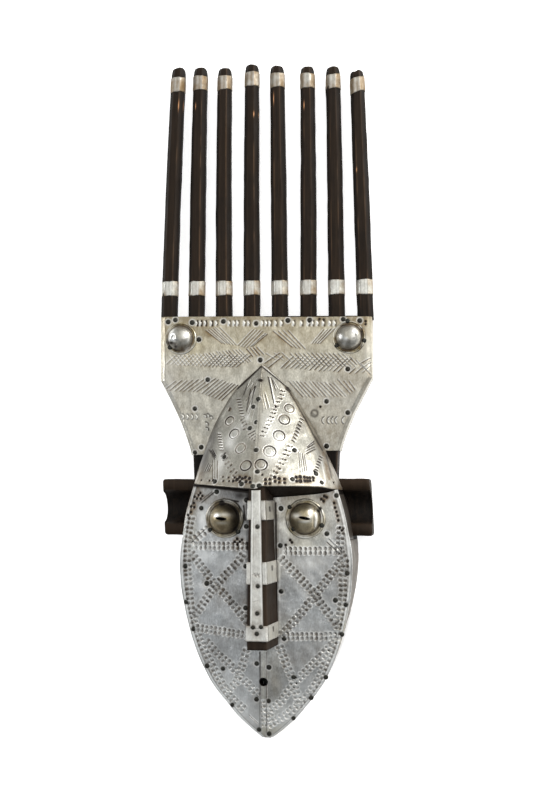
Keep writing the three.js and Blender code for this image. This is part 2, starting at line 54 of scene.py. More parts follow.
# Face
FACE_CENTRE = 5.0
FACE_HALF_WIDTHS = [
    (0, 3), (10, 15.5), (22, 28), (54, 53), (97, 70.5), (154, 80.3), (203, 75), (238, 65.5),
]
FACE_RIM_HEIGHTS = [(0, 31), (50, 36.5), (100, 41), (154, 45.5), (200, 49.5), (238, 51.5)]
FACE_BULGE, FACE_BULGE_FROM = 5.0, 60.0
FLARE_MIDDLE, FLARE_SLOPE, FLARE_RANGE = 130.0, 0.075, (-2.5, 4.0)
HOLLOW = {"wall": 11.0, "front": 12.0, "from": 14.0, "to": 226.0, "arch": 45.0, "mouth": 4.0}
FACE_GRID = {"rows": 110, "end_rows": 8, "side": 12, "columns": 61}

# Board and neck
BOARD = {
    "thickness": 22.0, "half": 103.0, "top": 399.8, "top_tilt": -0.02, "corner": 338.0,
    "bottom": 265.0, "bottom_tilt": 0.025, "waist": 71.5, "taper": 1.35, "drop": 2.5, "edge": 0.955,
    "tilt_from": 330.0, "tilt_reach": 70.0, "rows": 60, "neck_rows": 14, "columns": 84, "side_rows": 6,
}
NECK = {"half": 69.5, "low": 222.0, "from": 229.0}

# Brow hood; half widths are (share of the way down from the apex, value)
BROW = {
    "apex": 351.0, "bottom": 232.5, "left_rise": 5.0, "right_drop": 1.0,
    "ridge_from": -1.2, "ridge_to": 5.0,
    "apex_rise": 2.0, "rise": 69.0, "fall": 0.5, "crown": 0.5, "flank": 14,
    "undercut_left": 0.09, "undercut_right": 0.22, "seam": -0.045, "apex_short": 0.4,
}
# The right half of the hood's lower edge is cut away a little higher: rise, and where it sets in and ends
RIGHT_LIFT = {"rise": 2.6, "from": -0.02, "fade_in": 0.1, "fade_out": 0.25}
BROW_LEFT = [(0, 0), (0.19, 25), (0.4, 43), (0.65, 57), (1, 71.5)]
BROW_RIGHT = [(0, 0), (0.19, 23), (0.4, 37.5), (0.65, 53), (1, 70)]

# Nose
NOSE = {"bottom": 88.0, "top": 233.0, "front": 90.0, "foot": 44.0}
NOSE_FRONT = ((-3.9, 14.1), (-2.2, 11.6))
NOSE_FOOT = ((-8.2, 18.3), (-6.6, 16.4))
NOSE_FOOT_Z = 32.0
NOSE_STRIP = {"from": 107.5, "to": 231.0, "low": (-0.7, 11.4), "high": (0.4, 9.0)}
NOSE_BANDS = {"lower": (95.8, 109.8), "middle": (146.3, 166.4), "upper": (204.0, 221.6)}
# Grid of a band; its corner's drop and its gap to the face; beside the nose is below a height
NOSE_BAND = {"row": 0.7, "columns": 24, "side_rows": 34, "corner": 0.6, "clear": 0.5, "beside": 86.0}

# Eyes, mouth and bosses
EYES = {"left": (-31.8, 204.6), "right": (44.4, 204.8)}
EYE_BORE = 8.0
MOUTH, MOUTH_RADIUS = (2.7, 53.0), 4.2
EYE_BOSS = {"flange": 18.6, "dome": 13.9, "height": 13.0, "lift": 0.35, "bright": 0.45, "warmth": 0.4}
CREST_BOSS = {"flange": 16.0, "dome": 12.3, "height": 10.5, "bright": 0.6, "warmth": 1.0}
# Tacks through a boss's flange: how far beyond it they still count, and how far they stand off
EYE_FLANGE_TACKS, CREST_FLANGE_TACKS = (0.6, 0.9), (0.8, 0.5)
CREST_BOSSES = {"left": (-83.5, 379.5), "right": (82.5, 377.0)}

# Ears and comb
EAR = {
    "bottom": 188.0, "top": 242.0, "back": 2.0, "front": 25.0, "flange": 11.0, "groove": 16.0,
    "left": -99.0, "right": 102.5, "lean": 0.05, "left_root": -60.0, "right_root": 70.0,
}
# Sections of an ear: how many are even, where its rounded end has more, and their sizes there
EAR_END = {"even": 26, "from": 0.93, "at": [0.97, 0.99, 1.0], "sizes": [0.985, 0.96, 0.9]}
PRONG = {
    "count": 8, "first": -98.0, "pitch": 27.9, "foot": 400.0, "middle": 528.0, "depth": 11.0,
    "sunk": 3.0, "thickness": 13.5, "chamfer": 4.0, "band": 14.4, "lower_rise": 23.5, "lower_drop": 0.55,
}
PRONG_WIDTHS = (15.8, 15.1, 13.7)
# Rows of a prong, and its points along each of its flats as shares of the flat
PRONG_ROWS, PRONG_STEPS = 170, (0.04, 0.13, 0.87, 0.96)
# Rounding of a prong's tip: rows by distance from it, reach and least size, and the taper above the band
PRONG_TIP = {
    "ends": (3.2, 2.4, 1.7, 1.1, 0.6, 0.2, 0), "from": 4.2, "round": 3.6, "least": 0.45,
    "taper": 0.86, "reach": 10,
}
PRONG_TIPS = [-89.6, -67.1, -42.1, -14.4, 11, 41.3, 66.8, 90.4]
PRONG_BENDS = [-0.9, -0.6, -0.9, -0.5, 0, 0.6, 0.2, 0.2]
PRONG_LENGTHS = [656.7, 655.6, 653.4, 655.3, 652.4, 649.8, 648.2, 643.6]
UPPER_BAND_DROPS = [26, 24.4, 23.5, 23.3, 23.1, 22.8, 23.7, 23.8]
UPPER_BAND_TILTS = [0.03, -0.02, 0.05, 0.02, 0.04, -0.02, 0.12, 0.28]
# Pale chips by prong: distance below its upper band, size, side
PRONG_CHIPS = {
    0: (14.5, 4.2, 1), 1: (17, 2.5, -1), 3: (29, 2.2, 1), 4: (12, 4.5, -1), 5: (18, 3.2, -1),
    7: (78, 1.8, -1),
}
# How worn the left and the right ridge of each prong's front are
PRONG_RIDGES = [
    (0.2, 0.8), (0.2, 1.0), (0.3, 1.0), (0.3, 1.0), (0.9, 0.5), (0.8, 0.6), (0.7, 0.6), (0.9, 0.7),
]
# Damage of single prongs: a split in a tip, and a flat on a left side
SPLIT_PRONG = {"index": 7, "left": 1.5, "slope_at": 1.5, "notch": 1.6, "notch_at": -0.2, "width": 1.5}
FLAT_PRONG = {"index": 6, "below": 24, "length": 7, "from": -3, "depth": 0.9}

# Radii of the tack heads
TACK_RADII = {"crest_tacks": 2.2, "brow_tacks": 2.2, "face_tacks": 2.2, "nose_tacks": 1.9}
# Rows of a boss's dome and flange, points round it, depth of the slit's edge, and the flange's lift
BOSS_GRID = {"dome": 40, "flange": 14, "round": 121, "turned_down": 1.4, "lift": 0.15}
# Grids of the sheets, and how they fold, lap and roll at their edges
CREST_GRID = {
    "rows": 228, "columns": 345, "edge": 0.992, "top_insets": (0.3, 1.0), "fold": 1.2, "fold_steps": 6,
    "wall_steps": 27, "wall_step": 0.6, "foot": 2.2,
}
BROW_GRID = {
    "rows": 225, "columns": 200, "edge": 0.9985, "even_at": 0.12, "crowd": 0.94,
    "overlap": 0.006, "lap": 0.25, "lip": 0.5, "lip_width": 0.02,
}
CHEEK_GRID = {"rows": 430, "columns": 165, "rim": 66.0, "chin": 0.6, "short": 0.15, "crowd": 0.9}
CHEEK_SEAMS = {"left": 6.0, "right": -0.4}
CHEEK_LAP = {"rise": 0.75, "to": 6.6, "fade": 1.2, "top": 90.0, "top_fade": 4.0}
CHEEK_ROLL = {"radius": 1.3, "out": 0.5, "turn": 0.62, "steps": 9}
SIDE_SHEET = {
    "chin": 3.0, "foot": 6.0, "seam": 185.5, "gap": 0.3, "top": 227.0, "above_ear": 0.8,
    "row": 1.1, "columns": 30, "short": 0.4, "darkening": {"lower": 0.14, "upper": 0.52},
}
# Parts of the sheets that the nose bar or the hood would hide
BEHIND_NOSE = {"above": 1.5, "below": 80.0, "inside": 0.8}
UNDER_HOOD = 3.0


# Plain maths

def mix(a, b, t):
    return a + (b - a) * t


def smooth(t):
    t = np.clip(t, 0, 1)
    return t * t * (3 - 2 * t)


def bell(distance, width):
    return np.exp(-((distance / width) ** 2))


def along(pairs, y):
    """Smooth curve through a few (y, value) pairs."""
    ys = np.array([p[0] for p in pairs], float)
    vs = np.array([p[1] for p in pairs], float)
    low = np.maximum(np.arange(len(ys)) - 1, 0)
    high = np.minimum(np.arange(len(ys)) + 1, len(ys) - 1)
    slopes = (vs[high] - vs[low]) / (ys[high] - ys[low])
    y = np.asarray(y, float)
    i = np.clip(np.searchsorted(ys, y, side="right") - 1, 0, len(ys) - 2)
    step = ys[i + 1] - ys[i]
    t = np.clip((y - ys[i]) / step, 0, 1)
    t2, t3 = t * t, t * t * t
    value = vs[i] * (2 * t3 - 3 * t2 + 1) + vs[i + 1] * (3 * t2 - 2 * t3)
    return value + step * (slopes[i] * (t3 - 2 * t2 + t) + slopes[i + 1] * (t3 - t2))


def noise(x, y, size, seed):
    """Smooth random field from -1 to 1 with lumps of a given size."""
    table = np.random.default_rng(seed).uniform(-1, 1, (64, 64))
    u, v = x / size + 31.7, y / size + 23.3
    i, j = np.floor(u).astype(int), np.floor(v).astype(int)
    s, t = smooth(u - i), smooth(v - j)
    i, j = i % 64, j % 64
    k, m = (i + 1) % 64, (j + 1) % 64
    return mix(mix(table[i, j], table[k, j], s), mix(table[i, m], table[k, m], s), t)


def fractal(x, y, size, seed, octaves=3):
    return sum(noise(x, y, size / 2 ** k, seed + k) / 2 ** k for k in range(octaves))


def unit(vectors):
    return vectors / np.maximum(np.linalg.norm(vectors, axis=-1, keepdims=True), 1e-9)


def grid_of(x, y, z):
    """Points from coordinates that are broadcast against each other."""
    return np.stack(np.broadcast_arrays(x, y, z), -1)


# The camera's view of the photograph

def camera_axes():
    forward = unit(CAMERA_AIM - CAMERA_AT)
    right = unit(np.cross(forward, [0, 1, 0]))
    return forward, right, np.cross(right, forward)


FORWARD, RIGHT, UP = camera_axes()
FOCAL = LENS / SENSOR * PHOTO_HEIGHT


def on_surface(px, py, height):
    """The spot (x, y) where a photo pixel's ray meets the surface z = height(x, y)."""
    ray = FORWARD * FOCAL + RIGHT * (px - PHOTO_WIDTH / 2) - UP * (py - PHOTO_HEIGHT / 2)
    z = 30.0
    for _ in range(8):
        x, y = (CAMERA_AT + ray * (z - CAMERA_AT[2]) / ray[2])[:2]
        z = mix(z, float(height(x, y)), 0.8)
    return np.array([x, y])


def to_photo(points):
    """Photo pixels at which points are seen."""
    ray = points - CAMERA_AT
    depth = ray @ FORWARD
    across, up = ray @ RIGHT / depth, ray @ UP / depth
    return np.stack([PHOTO_WIDTH / 2 + FOCAL * across, PHOTO_HEIGHT / 2 - FOCAL * up], -1)


def in_patch(photo, pixel, radius):
    """Soft round or oval patch round a pixel: 1 at its middle, falling to 0."""
    reach = np.broadcast_to(radius, 2)
    away = (photo - pixel) / reach
    return np.exp(-(away ** 2).sum(-1))


def near_line(photo, start, end):
    """Distance in pixels from a line between two pixels."""
    start, run = np.array(start, float), np.subtract(end, start)
    share = np.clip((photo - start) @ run / (run @ run), 0, 1)
    return np.linalg.norm(photo - start - share[..., None] * run, axis=-1)


# Surfaces of the carving

def face_half(y):
    return along(FACE_HALF_WIDTHS, y)


def face_rim(y):
    return along(FACE_RIM_HEIGHTS, y)


def face_flare(y):
    return np.clip((y - FLARE_MIDDLE) * FLARE_SLOPE, *FLARE_RANGE)


def face_height(x, y):
    half = face_half(y)
    s = np.clip((x - FACE_CENTRE) / half, -1, 1)
    return face_rim(y) + FACE_BULGE * np.minimum(half / FACE_BULGE_FROM, 1) ** 2 * (1 - s * s)


def board_half(y):
    y = np.asarray(y, float)
    climb = np.clip((y - BOARD["bottom"]) / (BOARD["corner"] - BOARD["bottom"]), 0, 1)
    neck = np.clip((BOARD["bottom"] - y) / (BOARD["bottom"] - NECK["low"]), 0, 1)
    wide = mix(BOARD["waist"], BOARD["half"], climb ** BOARD["taper"])
    return wide - neck * (BOARD["waist"] - NECK["half"])


def board_top(x):
    return BOARD["top"] + BOARD["top_tilt"] * x


def board_height(x, y):
    s = np.abs(x) / board_half(y)
    edge = np.clip((s - BOARD["edge"]) / (1 - BOARD["edge"]), 0, 1)
    return BOARD["thickness"] - BOARD["drop"] * edge * edge


def brow_bottom(s):
    return BROW["bottom"] + np.where(s < 0, -BROW["left_rise"] * s, -BROW["right_drop"] * s)


def brow_lip(s):
    """The hood's lower edge; its right half is cut away a little higher than the left one."""
    begun = smooth((s - RIGHT_LIFT["from"]) / RIGHT_LIFT["fade_in"])
    return brow_bottom(s) + RIGHT_LIFT["rise"] * begun * smooth((1 - s) / RIGHT_LIFT["fade_out"])


def brow_ratio(y):
    return np.clip((BROW["apex"] - y) / (BROW["apex"] - BROW["bottom"]), 0, 1.05)


def brow_ridge(y):
    return mix(BROW["ridge_from"], BROW["ridge_to"], brow_ratio(y))


def brow_half(y, left):
    ratio = brow_ratio(y)
    return np.where(left, along(BROW_LEFT, ratio), along(BROW_RIGHT, ratio))


def brow_rise(s, ratio):
    a = np.clip(np.abs(s), 0, 1)
    shape = (1 - BROW["fall"] * a ** (1 + BROW["crown"] * ratio)) * np.sqrt(1 - a ** BROW["flank"])
    return BOARD["thickness"] + (BROW["apex_rise"] + BROW["rise"] * ratio) * shape


def brow_height(x, y, grow=0.0):
    """Height of the hood, or of the board where the hood has ended."""
    offset = x - brow_ridge(y)
    s = offset / np.maximum(brow_half(y, offset < 0) + grow, 0.1)
    return np.where(np.abs(s) < 1, brow_rise(s, brow_ratio(y)), BOARD["thickness"]) + grow


def brow_point(s, v, grow):
    y = mix(brow_lip(s), BROW["apex"] - BROW["apex_short"], v)
    x = brow_ridge(y) + s * (brow_half(y, s < 0) + grow)
    return np.stack([x, y + v * grow, brow_rise(s, brow_ratio(y)) + grow], -1)


def undercut_edge(x):
    """Height y at which the hood's sloping underside meets the face."""
    left = x < BROW["ridge_to"]
    s = np.clip((x - BROW["ridge_to"]) / np.where(left, BROW_LEFT[-1][1], BROW_RIGHT[-1][1]), -1, 1)
    y = brow_bottom(s)
    z = brow_rise(s, brow_ratio(y))
    slope = np.where(left, BROW["undercut_left"], BROW["undercut_right"])
    return y - slope * np.maximum(z - face_height(x, y), 0)


def nose_edge(y, z, side):
    """x of the nose bar's left (0) or right (1) side at a height z."""
    t = (y - NOSE["bottom"]) / (NOSE["top"] - NOSE["bottom"])
    front = mix(NOSE_FRONT[0][side], NOSE_FRONT[1][side], t)
    foot = mix(NOSE_FOOT[0][side], NOSE_FOOT[1][side], t)
    return mix(foot, front, (z - NOSE_FOOT_Z) / (NOSE["front"] - NOSE_FOOT_Z))


def prong_centre(index, y):
    foot = PRONG["first"] + PRONG["pitch"] * index
    t = (y - PRONG["foot"]) / (PRONG_LENGTHS[index] - PRONG["foot"])
    return mix(foot, PRONG_TIPS[index], t) + 4 * PRONG_BENDS[index] * t * (1 - t)


def prong_width(index, y):
    foot, middle, tip = PRONG_WIDTHS
    below = (y - PRONG["foot"]) / (PRONG["middle"] - PRONG["foot"])
    above = (y - PRONG["middle"]) / (PRONG_LENGTHS[index] - PRONG["middle"])
    return np.where(y < PRONG["middle"], mix(foot, middle, below), mix(middle, tip, above))


# Meshes

def quads_of(numbers):
    """Quads of a grid of vertex numbers; facing +z when columns run along x and rows along y."""
    corners = [numbers[:-1, :-1], numbers[:-1, 1:], numbers[1:, 1:], numbers[1:, :-1]]
    return np.stack(corners, -1).reshape(-1, 4)


def numbered(shape):
    return np.arange(shape[0] * shape[1]).reshape(shape[:2])


def make_object(name, points, faces, material, attributes):
    points = np.asarray(points, float).reshape(-1, 3)
    placed = (points + [0, CHIN_Y, 0]) * MM
    mesh = bpy.data.meshes.new(name)
    mesh.from_pydata(placed.tolist(), [], [list(map(int, f)) for f in faces])
    for key, values in attributes.items():
        layer = mesh.attributes.new(key, "FLOAT", "POINT")
        layer.data.foreach_set("value", np.ascontiguousarray(values, np.float32).ravel())
    mesh.shade_smooth()
    mesh.materials.append(material)
    made = bpy.data.objects.new(name, mesh)
    bpy.context.scene.collection.objects.link(made)
    return made


def stand_for(made, node):
    """Puts a piece in the place of one of the frame's nodes."""
    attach(made, "root")
    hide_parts(node)


# Painted layers of the sheets: grime with painted shade, stain, painted highlight with polish, and tint
FIELDS = ("dirt", "rust", "shine", "warm")


class Sheet:
    """Metal skin over a grid of points, dented, punched and stained vertex by vertex, with painted
    highlight and painted shade.
    """

    CELL = 4.0
    CELL_ROW = 4096

    def __init__(self, points, seed):
        self.grid = points.shape[:2]
        across, upward = np.gradient(points, axis=1), np.gradient(points, axis=0)
        self.normals = unit(np.cross(across, upward)).reshape(-1, 3)
        self.points = points.reshape(-1, 3)
        for field in ("relief", *FIELDS):
            setattr(self, field, np.zeros(len(self.points)))
        self.photo = to_photo(self.points)
        self.random = np.random.default_rng(seed)
        cells = self.cell(self.points[:, 0], self.points[:, 1])
        self.order = np.argsort(cells, kind="stable")
        self.keys = cells[self.order]

    def cell(self, x, y):
        return np.floor(x / self.CELL).astype(int) * self.CELL_ROW + np.floor(y / self.CELL).astype(int)

    def inside(self, low, high):
        found = []
        first, last = math.floor(low[0] / self.CELL), math.floor(high[0] / self.CELL)
        for column in range(first, last + 1):
            x = (column + 0.5) * self.CELL
            start, end = self.cell(x, low[1]), self.cell(x, high[1])
            span = np.searchsorted(self.keys, [start, end + 1])
            found.append(self.order[span[0]:span[1]])
        return np.concatenate(found)

    def spot(self, at):
        """The surface point and normal at a place (x, y)."""
        near = self.inside(np.subtract(at, 3), np.add(at, 3))
        if len(near) == 0:
            return None
        away = np.hypot(*(self.points[near, :2] - at).T)
        nearest = near[np.argmin(away)]
        if away.min() > 1.5:
            return None
        normal = self.normals[nearest]
        point = self.points[nearest].copy()
        shift = np.subtract(at, point[:2])
        point[:2] = at
        point[2] -= (normal[:2] @ shift) / max(normal[2], 0.2)
        return point, normal

    def local(self, at, heading, reach):
        """Vertices round a place, with their distances along and across a heading."""
        spot = self.spot(at)
        if spot is None:
            return np.empty(0, int), np.empty(0), np.empty(0)
        point, normal = spot
        near = self.inside(np.subtract(at, reach), np.add(at, reach))
        tangent = np.array([heading[0], heading[1], 0.0])
        tangent = unit(tangent - (tangent @ normal) * normal)
        side = np.cross(normal, tangent)
        offset = self.points[near] - point
        return near, offset @ tangent, offset @ side

    def around(self, at, reach):
        """Vertices round a place, with their distances from it and along the sheet's two ways."""
        near, a, b = self.local(at, (1, 0), reach)
        return near, np.hypot(a, b), a, b

    def stain(self, near, **amounts):
        for field, amount in amounts.items():
            values = getattr(self, field)
            values[near] = np.maximum(values[near], amount)

    def gouge(self, at, heading, radius=1.7, depth=0.55, dark=0.4, bright=1.0):
        """Thumbnail mark of a curved chisel: deepest at its arc, which faces the heading."""
        near, a, b = self.local(at, heading, radius + 2)
        if len(near) == 0:
            return
        rho = np.hypot(a, b)
        depth = 1.5 * depth
        tip = np.clip((a / radius + 0.7) / 1.7, 0, 1)
        pressed = depth * tip ** 1.2 * smooth((radius + 0.3 - rho) / 0.6)
        lip = 0.3 * depth * bell(rho - radius - 0.6, 0.4) * smooth(a / radius + 0.4)
        self.relief[near] += lip - pressed
        arc = bell(rho - radius + 0.15, 0.6) * smooth(a / radius + 0.45)
        core = bell(np.hypot(a - 0.25, b), 0.55 * radius)
        heel = bell(np.hypot(a + 0.85 * radius, b), 0.45 * radius)
        rim = bell(rho - radius - 0.6, 0.45) * mix(0.45, 1, smooth(0.5 - a / radius))
        glint = bright * self.random.uniform(0.45, 1.2)
        # Grime in the arc and core; painted highlight at the heel and round the rim
        self.stain(near, dirt=0.8 * dark * arc, shine=glint * heel)
        self.stain(near, dirt=0.5 * dark * core, shine=glint * rim)
        self.stain(near, rust=0.9 * dark * bell(rho, radius * 1.15))

    def pit(self, at, radius=0.8, depth=0.7, dark=0.9):
        near, rho, _, _ = self.around(at, radius + 2)
        self.relief[near] -= depth * smooth((radius + 0.4 - rho) / 0.8)
        hole = smooth((radius + 0.35 - rho) / 0.6)
        self.stain(near, dirt=dark * hole, rust=0.5 * dark * bell(rho, radius * 1.8))

    def ring(self, at, radius, depth=0.4, dark=0.4, inner=0.0):
        near, rho, a, b = self.around(at, radius + 2.5)
        self.relief[near] -= depth * bell(rho - radius, 0.5)
        self.relief[near] += 0.5 * depth * smooth((radius - 0.4 - rho) / 2)
        self.relief[near] += 0.3 * depth * bell(rho - radius - 0.9, 0.5)
        lean = 0.5 + 0.5 * np.cos(np.arctan2(b, a) - at[0])
        groove = 1.5 * dark * bell(rho - radius, mix(0.35, 0.65, lean)) * mix(0.5, 1.2, lean)
        within = 0.7 * bell(rho - radius + 1.1, 0.5) * smooth(0.5 - b / radius)
        # Grime in the groove, stain round it, painted highlight inside it on one side and just outside it
        self.stain(near, dirt=groove, rust=0.8 * bell(rho - radius, 1.1), shine=within)
        self.stain(near, shine=0.5 * bell(rho - radius - 1.0, 0.4))
        if inner:
            self.relief[near] -= 0.5 * depth * bell(rho - inner, 0.45)
            self.stain(near, dirt=0.5 * dark * bell(rho - inner, 0.4))

    def engrave(self, start, end, depth=0.28, width=0.42, dark=0.35):
        """Scratched line with a burr along one side; grime and stain in it, and a painted highlight on the
        burr.
        """
        start, end = np.array(start, float), np.array(end, float)
        low, high = np.minimum(start, end) - 2, np.maximum(start, end) + 2
        near = self.inside(low, high)
        run = end - start
        length = max(np.hypot(*run), 1e-6)
        run = run / length
        offset = self.points[near, :2] - start
        a, b = offset @ run, offset @ np.array([-run[1], run[0]])
        slope = np.sqrt(np.maximum(self.normals[near, 2], 0.35))
        b = b / slope
        reach = smooth((a + 0.6) / 1.5) * smooth((length + 0.6 - a) / 1.5)
        depth = depth * 1.5
        self.relief[near] -= depth * bell(b, width) * reach
        self.relief[near] += 0.5 * depth * bell(b - 2 * width, width) * reach
        self.stain(
            near,
            dirt=1.3 * dark * bell(b, 0.8 * width) * reach,
            rust=1.3 * dark * bell(b, 2.6 * width) * reach,
            shine=0.7 * bell(b - 2.1 * width, 1.0 * width) * reach,
        )

    def crescent(self, at, heading, radius=3.2, depth=0.45, width=0.45, spread=0.15, dark=0.35):
        """Arc struck with a half-round punch, bulging toward its heading."""
        near, a, b = self.local(at, heading, radius + 2.5)
        a = a + radius * 0.6
        rho = np.hypot(a, b)
        arc = smooth((a / np.maximum(rho, 0.1) - spread) / 0.35)
        self.relief[near] -= depth * bell(rho - radius, width) * arc
        self.relief[near] += 0.6 * depth * bell(rho - radius + 2.2 * width, width * 1.2) * arc
        # Painted highlight on the burr inside the arc; grime in the arc
        burr_highlight = 0.8 * bell(rho - radius + 2.2 * width, width) * arc
        self.stain(near, dirt=dark * bell(rho - radius, width) * arc, shine=burr_highlight)

    def bulge(self, at, radius, height, dark=0.0):
        near, rho, _, _ = self.around(at, radius * 2)
        self.relief[near] += height * bell(rho, radius * 0.7)
        self.stain(near, dirt=dark * bell(rho - radius, radius * 0.35))

    def seat(self, at, dark=0.35):
        """Dimple that a tack makes as it is driven in, darkened under its head, with a stain round it and a
        bright ring of painted highlight and polish.
        """
        near, rho, _, _ = self.around(at, 6)
        self.relief[near] -= 0.3 * bell(rho, 3.2)
        self.stain(near, dirt=0.9 * bell(rho, 2.1), rust=dark * bell(rho - 2.8, 1.6))
        self.stain(near, shine=0.8 * bell(rho - 3.0, 0.55))

    def smear(self, field, start, end, width, amount):
        """Soft-edged line of one layer (stain, painted shade, painted highlight) between two photo pixels.
        """
        values = getattr(self, field)
        values += amount * bell(near_line(self.photo, start, end), width)

    def paint(self, field, pixel, radius, amount):
        """Broad soft patch of one layer (painted highlight, painted shade, stain, tint) round a photo
        pixel.
        """
        values = getattr(self, field)
        values += amount * in_patch(self.photo, pixel, radius)

    def paint_all(self, patches):
        """Patches listed by field, each as pixel, radii in pixels and amount."""
        for field, rows in patches.items():
            for px, py, across, up, amount in rows:
                self.paint(field, (px, py), (across, up), amount)

    def smear_all(self, lines):
        """Lines listed by field, each as two pixels, width in pixels and amount."""
        for field, rows in lines.items():
            for *ends, width, amount in rows:
                self.smear(field, ends[:2], ends[2:], width, amount)

    def batter(self, seed, large=0.5, middle=0.16, small=0.05):
        """Low waves and dents of hammered sheet."""
        x, y = self.points[:, 0], self.points[:, 1]
        self.relief += large * noise(x, y, 26, seed) + large * 0.5 * noise(x, y, 13, seed + 1)
        self.relief += middle * noise(x, y, 7, seed + 2) + small * noise(x, y, 3.2, seed + 3)

    def stand(self, node, slot, material, thickness, drop=None):
        """Object with the sheet's own thickness turned down round its edge, in place of a node."""
        shape = self.grid
        placed = self.points + self.normals * self.relief[:, None]
        grid = placed.reshape(*shape, 3)
        normals = self.normals.reshape(*shape, 3)
        padded = np.pad(grid, ((1, 1), (1, 1), (0, 0)), mode="edge")
        under = np.pad(normals, ((1, 1), (1, 1), (0, 0)), mode="edge") * thickness
        inner = np.zeros(padded.shape[:2], bool)
        inner[1:-1, 1:-1] = True
        padded[~inner] -= under[~inner]
        faces = quads_of(numbered(padded.shape))
        if drop is not None:
            centres = padded.reshape(-1, 3)[faces].mean(1)
            faces = faces[~drop(centres)]
        layers = {field: np.pad(getattr(self, field).reshape(shape), 1, mode="edge") for field in FIELDS}
        stand_for(make_object(f"{node}_made", padded, faces, material, layers), node)


# Materials; colours are sRGB numbers out of 255

# The third tint on the next line is the pale colour of painted highlights; SHADE_TINT is the colour of
# painted shade and dark streaks on the wood
WARM_TINT, GRAIN_TINT, HIGHLIGHT_TINT = (214, 200, 150), (70, 64, 54), (240, 240, 237)
CHIP_TINT, SHADE_TINT, FLOOR_TINT = (205, 150, 108), (14, 10, 8), (250, 250, 250)
# Glow of the floor beyond an oval round the face: middle and reach in mm, share where it sets in
FLOOR_GLOW = {"middle": (2, 140), "reach": (80, 115), "from": 0.96, "to": 1.05, "strength": 0.7}


class Nodes:
    """Short way to wire up one node tree."""

    # Sockets of a Mix node set to colours
    COLOUR_A, COLOUR_B, COLOUR_OUT = 6, 7, 2

    def __init__(self, tree, place):
        self.tree = tree
        self.place = self.node("TexCoord").outputs[place]

    def fill(self, node, inputs):
        """Sets inputs of a node, by name or number, to values or to other nodes' sockets."""
        for key, value in inputs.items():
            if isinstance(value, bpy.types.NodeSocket):
                self.tree.links.new(value, node.inputs[key])
            else:
                node.inputs[key].default_value = value

    def node(self, kind, inputs=(), operation=None):
        made = self.tree.nodes.new("ShaderNode" + kind)
        if operation:
            made.operation = operation
        self.fill(made, dict(inputs))
        return made

    def texture(self, place, scale, detail, roughness):
        inputs = {"Vector": place, "Scale": scale, "Detail": detail, "Roughness": roughness}
        return self.node("TexNoise", inputs).outputs["Fac"]

    def noise(self, scale, detail, roughness, stretch=(1, 1, 1)):
        mapping = self.node("Mapping", {"Scale": stretch, "Vector": self.place})
        return self.texture(mapping.outputs["Vector"], scale, detail, roughness)

    def math(self, kind, a, b, clamp=False):
        made = self.node("Math", {0: a, 1: b}, kind)
        made.use_clamp = clamp
        return made.outputs[0]

    def times(self, a, b, clamp=False):
        return self.math("MULTIPLY", a, b, clamp)

    def plus(self, a, b, clamp=False):
        return self.math("ADD", a, b, clamp)

    def span(self, value, low, high, to_low=0.0, to_high=1.0):
        inputs = {"Value": value, "From Min": low, "From Max": high, "To Min": to_low, "To Max": to_high}
        return self.node("MapRange", inputs).outputs["Result"]

    def blend(self, share, a, b):
        made = self.node("Mix", {"Factor": share})
        made.data_type = "RGBA"
        self.fill(made, {self.COLOUR_A: colour(a), self.COLOUR_B: colour(b)})
        return made.outputs[self.COLOUR_OUT]


class Shader(Nodes):
    """One procedural material."""

    def __init__(self, name):
        self.material = bpy.data.materials.new(name)
        self.material.use_nodes = True
        super().__init__(self.material.node_tree, "Object")
        self.surface = self.tree.nodes["Principled BSDF"]

    def attribute(self, name):
        node = self.node("Attribute")
        node.attribute_name = name
        return node.outputs["Fac"]

    def share(self, name, gain=1.0):
        """A painted layer, multiplied and kept between 0 and 1."""
        return self.times(self.attribute(name), gain, clamp=True)

    def bump(self, height, strength, distance):
        node = self.node("Bump", {"Strength": strength, "Distance": distance, "Height": height})
        self.fill(self.surface, {"Normal": node.outputs["Normal"]})


def colour(value):
    """Linear colour with alpha from sRGB numbers out of 255, or a socket as it is."""
    if isinstance(value, bpy.types.NodeSocket):
        return value
    parts = [v / 255 for v in value]
    linear = [v / 12.92 if v <= 0.04045 else ((v + 0.055) / 1.055) ** 2.4 for v in parts]
    return (*linear, 1.0)


